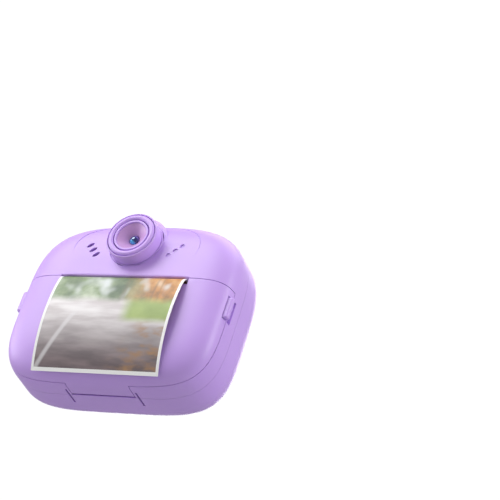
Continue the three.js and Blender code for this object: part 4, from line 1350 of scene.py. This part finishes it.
@dataclass
class FrontLens:
    """The short barrel: scalloped base, rim, rolled front ring, cone and its glass."""

    z: float = 65.2
    front_y: float = -29.4
    barrel_r: float = 11.4
    base_r: float = 12.0
    base_y: float = -23.5
    seat_y: float = -15.0

    def build(self, finishes: Finishes) -> list[bpy.types.Object]:
        """Turn each piece of the lens and dress it.

        Args:
            finishes: The shared materials.

        Returns:
            The pieces from the base ring to the glass.
        """
        f, r, centre = self.front_y, self.barrel_r, (0.0, self.z)
        base = lathe("lens_collar", rounded([(self.base_r, self.base_y, 0.45), (self.base_r, self.seat_y, 0),
                                            (r - 1.9, self.seat_y, 0), (r - 1.9, self.base_y, 0)]),
                     centre, 256, (8, 0.36, r))
        barrel = lathe("lens_sleeve", rounded([
            (r, f + 0.05, 0.55), (r, self.base_y - 0.25, 0.2), (r - 2.2, self.base_y - 0.25, 0),
            (r - 2.2, self.seat_y, 0), (r - 3.4, self.seat_y, 0), (r - 3.4, f + 1.6, 0),
            (r - 0.75, f + 1.6, 0), (r - 0.75, f + 0.05, 0.3)]), centre)
        outer, inner = r - 1.0, r - 3.35
        torus = [(outer, f + 1.5), (outer, f + 0.45)]
        middle, half = (outer + inner) / 2, (outer - inner) / 2
        torus += [(middle + half * math.cos(a), f + 0.45 - 1.0 * math.sin(a))
                  for a in np.linspace(0, math.pi, 25)[1:-1]]
        torus += [(inner, f + 0.45), (inner, f + 1.5)]
        ring = lathe("lens_bezel", torus, centre)
        lip = [(7.75, f - 0.15, 0.4), (7.75, f + 1.2, 0), (6.5, f + 1.2, 0), (6.75, f - 0.15, 0.4)]
        carve(ring, Carve.JOIN, lathe("lip", rounded(lip), centre))
        cone = lathe("lens_funnel", rounded([
            (7.0, f + 1.3, 0), (7.0, f + 5.8, 0), (1.0, f + 5.8, 0), (1.0, f + 4.6, 0), (2.3, f + 4.6, 0),
            (2.3, f + 3.7, 0.3), (6.62, f + 0.3, 0.2), (6.8, f + 1.3, 0)]), centre)
        dome = [(2.1 * math.cos(a), f + 3.95 - 1.65 * math.sin(a))
                for a in np.linspace(0, math.pi / 2 * 0.99, 18)]
        glass = lathe("lens_bead", dome + [(0.01, f + 4.3), (2.1, f + 4.3)], centre, 72)
        for piece in (base, barrel, ring, cone, glass):
            shade(piece, 50)
        return [
            place(base, "camera_body", "lilac_shell", finishes.lilac, "lens_base_ring"),
            place(barrel, "camera_body", "lilac_shell", finishes.lilac, "lens_barrel"),
            place(ring, "camera_body", "lilac_shell", finishes.lilac, "lens_front_ring"),
            place(cone, "camera_body", "pink_cone", finishes.pink, "lens_cone"),
            place(glass, "camera_body", "lens_glass", finishes.front_glass, "lens_glass"),
        ]


# ---- paper -----------------------------------------------------------------------------------


@dataclass
class PrintSheet:
    """The printed sheet that curls out of the slot and down over the door."""

    half_width: float = 29.3
    thick: float = 0.24
    path: tuple[Pair, ...] = (
        (-11.8, 46.6), (-13.6, 47.2), (-16.5, 47.45), (-20.2, 47.75), (-22.9, 47.65),
        (-24.7, 46.2), (-25.7, 42.8), (-26.5, 37.2), (-26.8, 31.0), (-26.6, 24.8),
        (-25.7, 18.6), (-24.2, 12.4), (-22.3, 7.0), (-20.2, 2.6),
    )

    def curve(self, count: int) -> np.ndarray:
        """Evenly spread (y, z) points on a smooth curve through the path."""
        p = np.array([self.path[0], *self.path, self.path[-1]])
        run = []
        for i in range(1, len(p) - 2):
            for t in np.linspace(0, 1, 20, endpoint=False):
                run.append(0.5 * (2 * p[i] + (p[i + 1] - p[i - 1]) * t
                                  + (2 * p[i - 1] - 5 * p[i] + 4 * p[i + 1] - p[i + 2]) * t**2
                                  + (3 * p[i] - p[i - 1] - 3 * p[i + 1] + p[i + 2]) * t**3))
        run = np.array(run + [p[-1]])
        length = np.append(0, np.cumsum(np.linalg.norm(np.diff(run, axis=0), axis=1)))
        wanted = np.linspace(0, length[-1], count)
        return np.column_stack([np.interp(wanted, length, run[:, k]) for k in (0, 1)])

    def build(self, finishes: Finishes) -> bpy.types.Object:
        """Make the sheet with its picture's UV map.

        Args:
            finishes: The shared materials.

        Returns:
            The sheet.
        """
        across, along = 40, 90
        curve = self.curve(along)
        ahead = np.gradient(curve, axis=0)
        ahead /= np.linalg.norm(ahead, axis=1, keepdims=True)
        out = np.column_stack([ahead[:, 1], -ahead[:, 0]])
        points, faces, uv = [], [], []
        for face, sign in enumerate((1, -1)):
            for j in range(along):
                y, z = curve[j] + sign * out[j] * self.thick / 2
                points += [(self.half_width * (2 * i / across - 1), y, z) for i in range(across + 1)]
                uv += [(i / across, 1 - j / (along - 1)) for i in range(across + 1)]
            start = face * along * (across + 1)
            for j in range(along - 1):
                for i in range(across):
                    a = start + j * (across + 1) + i
                    faces.append((a, a + 1, a + across + 2, a + across + 1))
        second = along * (across + 1)
        rim = [i for i in range(across)] + [across + j * (across + 1) for j in range(along - 1)]
        rim += [(along - 1) * (across + 1) + i for i in range(across, 0, -1)]
        rim += [j * (across + 1) for j in range(along - 1, 0, -1)]
        for k, a in enumerate(rim):
            b = rim[(k + 1) % len(rim)]
            faces.append((a, b, b + second, a + second))
        sheet = mesh_object("curled_print", np.array(points), faces)
        layer = sheet.data.uv_layers.new(name="Picture")
        for loop in sheet.data.loops:
            layer.data[loop.index].uv = uv[loop.vertex_index]
        shade(sheet, 40)
        return place(sheet, "paper_door", "thermal_paper", finishes.printed, "print_sheet")


@dataclass
class PaperRoll:
    """The roll of thermal paper and its core."""

    y: float = -7.4
    z: float = 17.5
    r: float = 11.25
    core_r: float = 6
    half_length: float = 28.6

    def build(self, finishes: Finishes) -> list[bpy.types.Object]:
        """Turn the roll and the core."""
        n = self.half_length
        paper = rounded([(self.r, -n, 0.25), (self.r, n, 0.25), (self.core_r + 0.3, n, 0),
                         (self.core_r + 0.3, -n, 0)])
        core = rounded([(self.core_r, -n, 0.15), (self.core_r, n, 0.15), (self.core_r - 1.1, n, 0.15),
                        (self.core_r - 1.1, -n, 0.15)])
        roll = shade(lathe_x("wound_roll", paper, (self.y, self.z)))
        tube_core = shade(lathe_x("card_core", core, (self.y, self.z)))
        return [
            place(roll, "paper_roll", "thermal_paper", finishes.wound, "paper_roll"),
            place(tube_core, "paper_roll", "white_plastic", finishes.slots["white_plastic"], "roll_core"),
        ]


# ---- back ------------------------------------------------------------------------------------


class Icon(Enum):
    """What is drawn on a key."""

    CAMERA = "camera"
    POWER = "power"
    VIDEO = "video"
    UP = "up"
    PICTURE = "picture"
    DOWN = "down"


def arc_line(cx: float, cy: float, r: float, start: float, end: float, steps: int = 24) -> list[Pair]:
    """Points on an arc between two angles in degrees."""
    turns = np.radians(np.linspace(start, end, steps))
    return [(cx + r * math.cos(a), cy + r * math.sin(a)) for a in turns]


def icon_lines(icon: Icon) -> list[list[Pair]]:
    """The strokes of an icon, in millimetres right and up from the key's centre, seen from behind.

    Args:
        icon: Which icon.

    Returns:
        One list of points for each stroke.
    """
    if icon is Icon.CAMERA:
        body = [(-1.7, 0.3), (1.7, 0.3), (1.7, 2.5), (0.8, 2.5), (0.45, 2.95), (-0.45, 2.95), (-0.8, 2.5),
                (-1.7, 2.5), (-1.7, 0.3)]
        return [body, arc_line(0, 1.35, 0.62, 0, 360), [(-1.5, -0.75), (1.5, -0.75)],
                arc_line(0, -2.2, 0.7, 0, 360)]
    if icon is Icon.POWER:
        back = [(-1.3, -2.1), (-0.2, -2.1)] + arc_line(-0.2, -2.75, 0.65, 90, -90, 10) + [(-0.9, -3.4)]
        hook = [[(-0.8, -1.6), (-1.35, -2.1), (-0.8, -2.6)], [(x + 0.35, y) for x, y in back]]
        return [arc_line(0, 2.0, 1.1, 120, 420), [(0, 2.2), (0, 3.3)], [(-1.5, -0.4), (1.5, -0.4)], *hook]
    if icon is Icon.VIDEO:
        return [[(-1.3, -0.75), (0.5, -0.75), (0.5, 0.75), (-1.3, 0.75), (-1.3, -0.75)],
                [(0.5, -0.2), (1.3, -0.7), (1.3, 0.7), (0.5, 0.2)]]
    if icon is Icon.PICTURE:
        return [[(-1.3, -0.95), (1.3, -0.95), (1.3, 0.95), (-1.3, 0.95), (-1.3, -0.95)],
                [(-1.3, -0.4), (-0.5, 0.35), (0.1, -0.3), (0.55, 0.1), (1.3, -0.6)]]
    sign = 1 if icon is Icon.UP else -1
    return [[(-0.85, -0.35 * sign), (0, 0.45 * sign), (0.85, -0.35 * sign)]]


@dataclass
class Key:
    """One push button: an oval cap with a soft edge and a printed icon."""

    name: str
    icon: Icon
    x: float
    z: float
    long: float
    short: float
    turn: float
    back_y: float = 9.0
    flange: Pair = (9.8, 10.7)
    front_y: float = 14.15
    edge: float = 0.85
    crown: float = 0.22
    stroke: float = 0.2

    def top_y(self, x: float, z: float) -> float:
        """Height of the cap's crowned face at (x, z)."""
        c, s = math.cos(math.radians(self.turn)), math.sin(math.radians(self.turn))
        u = ((x - self.x) * c + (z - self.z) * s) / (self.long - self.edge)
        v = (-(x - self.x) * s + (z - self.z) * c) / (self.short - self.edge)
        return self.front_y - self.crown * min(u * u + v * v, 1)

    def cap(self) -> bpy.types.Object:
        """The cap as a loft of ovals."""
        steps = 72
        low = self.front_y - self.crown
        profile = [(0, self.back_y), (0, self.flange[0]), (-0.65, self.flange[0]), (-0.65, self.flange[1]),
                   (0, self.flange[1]), (0, low - self.edge - 0.4)]
        profile += [(self.edge * (1 - math.cos(a)), low - self.edge * (1 - math.sin(a)))
                    for a in np.linspace(0, math.pi / 2, 8)]
        rings = []
        for shrink, y in profile:
            flat = np.array(
                ellipse(self.x, self.z, self.long - shrink, self.short - shrink, self.turn, steps))
            rings.append(BodyForm.ring(flat, y))
        for share in (0.8, 0.6, 0.4, 0.2, 0.05):
            flat = np.array(ellipse(self.x, self.z, (self.long - self.edge) * share,
                                    (self.short - self.edge) * share, self.turn, steps))
            rings.append(BodyForm.ring(flat, self.front_y - self.crown * share**2))
        return loft(f"{self.name}_cap", rings)

    def marks(self) -> bpy.types.Object:
        """The icon as thin raised strokes that follow the crown."""
        points, faces = [], []
        half, lift = self.stroke / 2, 0.03
        for line in icon_lines(self.icon):
            flat = np.array([(self.x - u, self.z + v) for u, v in line])
            closed = np.allclose(flat[0], flat[-1])
            ahead = np.gradient(flat, axis=0)
            if closed:
                ahead[0] = ahead[-1] = flat[1] - flat[-2]
            ahead /= np.linalg.norm(ahead, axis=1, keepdims=True)
            side = np.column_stack([-ahead[:, 1], ahead[:, 0]]) * half
            start = len(points)
            for at, off in zip(flat, side):
                for x, z in (at + off, at - off):
                    y = self.top_y(x, z)
                    points += [(x, y + lift, z), (x, y - 0.06, z)]
            for i in range(len(flat) - 1):
                a, b = start + 4 * i, start + 4 * (i + 1)
                faces += [(a, b, b + 2, a + 2), (a + 1, a + 3, b + 3, b + 1), (a, a + 1, b + 1, b),
                          (a + 2, b + 2, b + 3, a + 3)]
            end = start + 4 * (len(flat) - 1)
            faces += [(start, start + 2, start + 3, start + 1), (end, end + 1, end + 3, end + 2)]
        return mesh_object(f"{self.name}_icon", np.array(points), faces)

    def build(self, finishes: Finishes) -> list[bpy.types.Object]:
        """Make the cap and its icon."""
        return [
            place(shade(self.cap(), 40), self.name, "lilac_shell", finishes.lilac, self.name),
            place(self.marks(), self.name, "pink_cone", finishes.ink),
        ]


def make_keys() -> list[Key]:
    """The six keys of the back."""
    x, z, dx, dz = -31.5, 40.2, 4.05, 4.6
    return [
        Key("shutter_button", Icon.CAMERA, x, z + 16.8, 5.35, 4.6, 90),
        Key("power_button", Icon.POWER, x, z - 16.8, 5.35, 4.6, 90),
        Key("video_button", Icon.VIDEO, x + dx, z + dz, 3.7, 3.0, 48),
        Key("up_button", Icon.UP, x - dx, z + dz, 3.7, 3.0, 132),
        Key("gallery_button", Icon.PICTURE, x + dx, z - dz, 3.7, 3.0, 132),
        Key("down_button", Icon.DOWN, x - dx, z - dz, 3.7, 3.0, 48),
    ]


@dataclass
class DisplayPanel:
    """The charcoal panel, the screen's window and the rear lens."""

    panel: PanelOutline
    keys: list[Key]
    y: Pair = (11.1, 12.7)
    screen: tuple[float, float, float, float] = (10, 40.1, 46.6, 35)
    mic: tuple[float, float, float] = (-18.1, 64.4, 0.7)
    lens_z: float = 70.2

    def build(self, finishes: Finishes) -> list[bpy.types.Object]:
        """Make the panel, the window with its picture and the small lens.

        Args:
            finishes: The shared materials.

        Returns:
            The panel, the window and the lens.
        """
        x, z, w, h = self.screen
        face = prism_y("panel_face", self.panel.points(-0.12), *self.y)
        gap = 0.3
        window_hole = box("window_hole", (x - w / 2 - gap, x + w / 2 + gap), (0, 30),
                          (z - h / 2 - gap, z + h / 2 + gap))
        holes = [prism_y("key_hole", ellipse(k.x, k.z, k.long + gap, k.short + gap, k.turn), 0, 30)
                 for k in self.keys]
        carve(face, Carve.CUT, window_hole,
              bar_y("mic", self.mic[2], self.mic[2], (5, 30), self.mic[:2], 24), *holes)
        bevel(face, 0.16, 2, 50)
        window = box("screen_window", (x - w / 2, x + w / 2), (11.3, 12.5), (z - h / 2, z + h / 2))
        bevel(window, 0.12, 2)
        layer = window.data.uv_layers.new(name="Picture")
        for loop in window.data.loops:
            at = window.data.vertices[loop.vertex_index].co / MM
            layer.data[loop.index].uv = ((x + w / 2 - at.x) / w, (at.z - z + h / 2) / h)
        dome = [(1.35 * math.cos(a), 8.7 + 0.75 * math.sin(a))
                for a in np.linspace(0, math.pi / 2 * 0.99, 12)]
        lens = shade(lathe("rear_lens_bead", dome + [(0.01, 7.8), (1.35, 7.8)], (0.0, self.lens_z), 48), 50)
        return [
            place(face, "camera_body", "charcoal_panel", finishes.charcoal, "display_panel"),
            place(window, "camera_body", "screen_glass", finishes.screen, "lcd_window"),
            place(lens, "camera_body", "lens_glass", finishes.back_glass, "selfie_lens"),
        ]


# ---- parts that keep their CAD shape ---------------------------------------------------------

CAD_FINISH: dict[str, str] = {
    "case_screw_1": "steel", "case_screw_2": "steel", "case_screw_3": "steel", "case_screw_4": "steel",
    "hinge_pin": "steel", "latch_spring_left": "steel", "latch_spring_right": "steel",
    "platen_bush_left": "black_plastic", "platen_bush_right": "black_plastic",
    "front_camera_module": "black_plastic", "printer_frame": "white_plastic", "print_head": "steel",
    "tear_bar": "steel", "stepper_motor": "steel", "paper_bay": "lilac_shell", "platen_roller": "rubber",
    "platen_shaft": "steel", "platen_gear": "white_plastic", "reduction_gear": "white_plastic",
    "motor_pinion": "steel", "lcd_module": "black_plastic", "keypad_sheet": "silicone", "microphone": "foil",
    "main_board": "board_green", "battery": "foil", "speaker": "black_plastic", "usb_port": "steel",
    "card_socket": "steel", "memory_card": "black_plastic", "selfie_camera_module": "black_plastic",
}


def dress_cad_nodes(nodes: dict[str, bpy.types.Object], finishes: Finishes) -> None:
    """Give every CAD node that still shows its procedural material.

    Args:
        nodes: The frame's nodes by name.
        finishes: The materials.
    """
    for name, slot in CAD_FINISH.items():
        data = nodes[name].data
        data.materials.clear()
        data.materials.append(finishes.slots[slot])
        LOG.info("%s keeps its shape in %s", name, slot)


# ---- studio ----------------------------------------------------------------------------------


@dataclass
class Studio:
    """Pale floor, soft lights and the camera."""

    floor_z: float = -1.4
    eye: tuple[float, float, float] = (0.3672, -0.5609, -0.3317)
    right: tuple[float, float, float] = (0.904, 0.335, 0.264)
    look: tuple[float, float, float] = (-0.426, 0.729, 0.535)
    focal: float = 131.1
    lamps: list[tuple[str, tuple[float, float, float], float, float]] = field(default_factory=lambda: [
        ("key", (-0.55, -0.75, 0.75), 0.7, 9.5),
        ("left", (-1.0, -0.35, 0.2), 0.6, 4.6),
        ("top", (0.15, 0.1, 1.05), 0.9, 5.0),
        ("side", (1.0, -0.2, 0.35), 0.6, 6.0),
        ("back", (-0.3, 0.9, 0.55), 0.7, 6.0),
    ])

    def build(self) -> None:
        """Add the floor, the world, the lamps and the camera."""
        self.add_floor()
        self.add_world()
        for name, at, size, power in self.lamps:
            self.add_lamp(name, at, size, power)
        self.add_camera()

    def add_floor(self) -> None:
        """A wide pale floor, well below the camera, which hangs above it."""
        material, graph, shader = blank_material("PaleFloor")
        spot = graph.add("TexCoord").outputs["Object"]
        tone = graph.mix(graph.noise(spot, 6, 3), (0.86, 0.86, 0.87), (0.9, 0.9, 0.9))
        graph.feed(shader.inputs["Base Color"], tone)
        graph.feed(shader.inputs["Emission Color"], tone)
        seen = graph.add("LightPath").outputs["Is Camera Ray"]
        graph.feed(shader.inputs["Emission Strength"], graph.math("MULTIPLY", seen, 0.5))
        shader.inputs["Roughness"].default_value = 0.8
        reach, z = 6000, self.floor_z / MM
        corners = np.array([(-reach, -reach, z), (reach, -reach, z), (reach, reach, z), (-reach, reach, z)])
        floor = mesh_object("pale_floor", corners, [(0, 1, 2, 3)])
        floor.data.materials.append(material)

    def add_world(self) -> None:
        """White all round: bright to the camera, softer as light."""
        world = bpy.data.worlds.new("Studio")
        bpy.context.scene.world = world
        world.use_nodes = True
        graph = Graph(world.node_tree)
        seen = graph.add("LightPath").outputs["Is Camera Ray"]
        backdrop = world.node_tree.nodes["Background"]
        backdrop.inputs["Color"].default_value = (1, 1, 1, 1)
        strength = graph.math("ADD", 0.36, graph.math("MULTIPLY", seen, 0.69))
        graph.feed(backdrop.inputs["Strength"], strength)

    def add_lamp(self, name: str, at: Sequence[float], size: float, power: float) -> None:
        """A soft square lamp aimed at the camera body's middle."""
        light = bpy.data.lights.new(name, "AREA")
        light.shape = "SQUARE"
        light.size = size
        light.energy = power
        lamp = bpy.data.objects.new(name, light)
        lamp.location = at
        aim = Vector((0, 0, 0.04)) - Vector(at)
        lamp.rotation_euler = aim.to_track_quat("-Z", "Y").to_euler()
        bpy.context.scene.collection.objects.link(lamp)

    def add_camera(self) -> None:
        """The camera, below the object and to its right, looking up at it."""
        data = bpy.data.cameras.new("view")
        data.lens = self.focal
        data.sensor_width = 36
        data.clip_start, data.clip_end = 0.02, 20
        camera = bpy.data.objects.new("view", data)
        look = Vector(self.look).normalized()
        right = Vector(self.right)
        right = (right - look * right.dot(look)).normalized()
        up = right.cross(look)
        turn = Matrix((right, up, -look)).transposed()
        camera.matrix_world = Matrix.Translation(self.eye) @ turn.to_4x4()
        bpy.context.scene.collection.objects.link(camera)
        bpy.context.scene.camera = camera


def main() -> None:
    """Build every sub-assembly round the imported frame."""
    logging.basicConfig(level=logging.INFO, format="%(name)s: %(message)s")
    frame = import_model()
    bpy.context.scene.view_settings.view_transform = "Standard"
    finishes = Finishes()
    form, seams, panel, keys = BodyForm(), Seams(), PanelOutline(), make_keys()
    skin = Skin(form.outer("skin", panel))
    FrontShell(form, seams).build(skin, form.outer("front", panel), finishes)
    RearShell(form, seams, panel, keys).build(skin, form.outer("rear", panel), finishes)
    PaperDoor(form, seams).build(skin, form.outer("door", panel), finishes)
    for side in (-1, 1):
        SideLatch(seams, side).build(finishes)
    FrontLens().build(finishes)
    PrintSheet().build(finishes)
    PaperRoll().build(finishes)
    for key in keys:
        key.build(finishes)
    DisplayPanel(panel, keys).build(finishes)
    dress_cad_nodes(frame["nodes"], finishes)
    Studio().build()


if __name__ == "__main__":
    main()
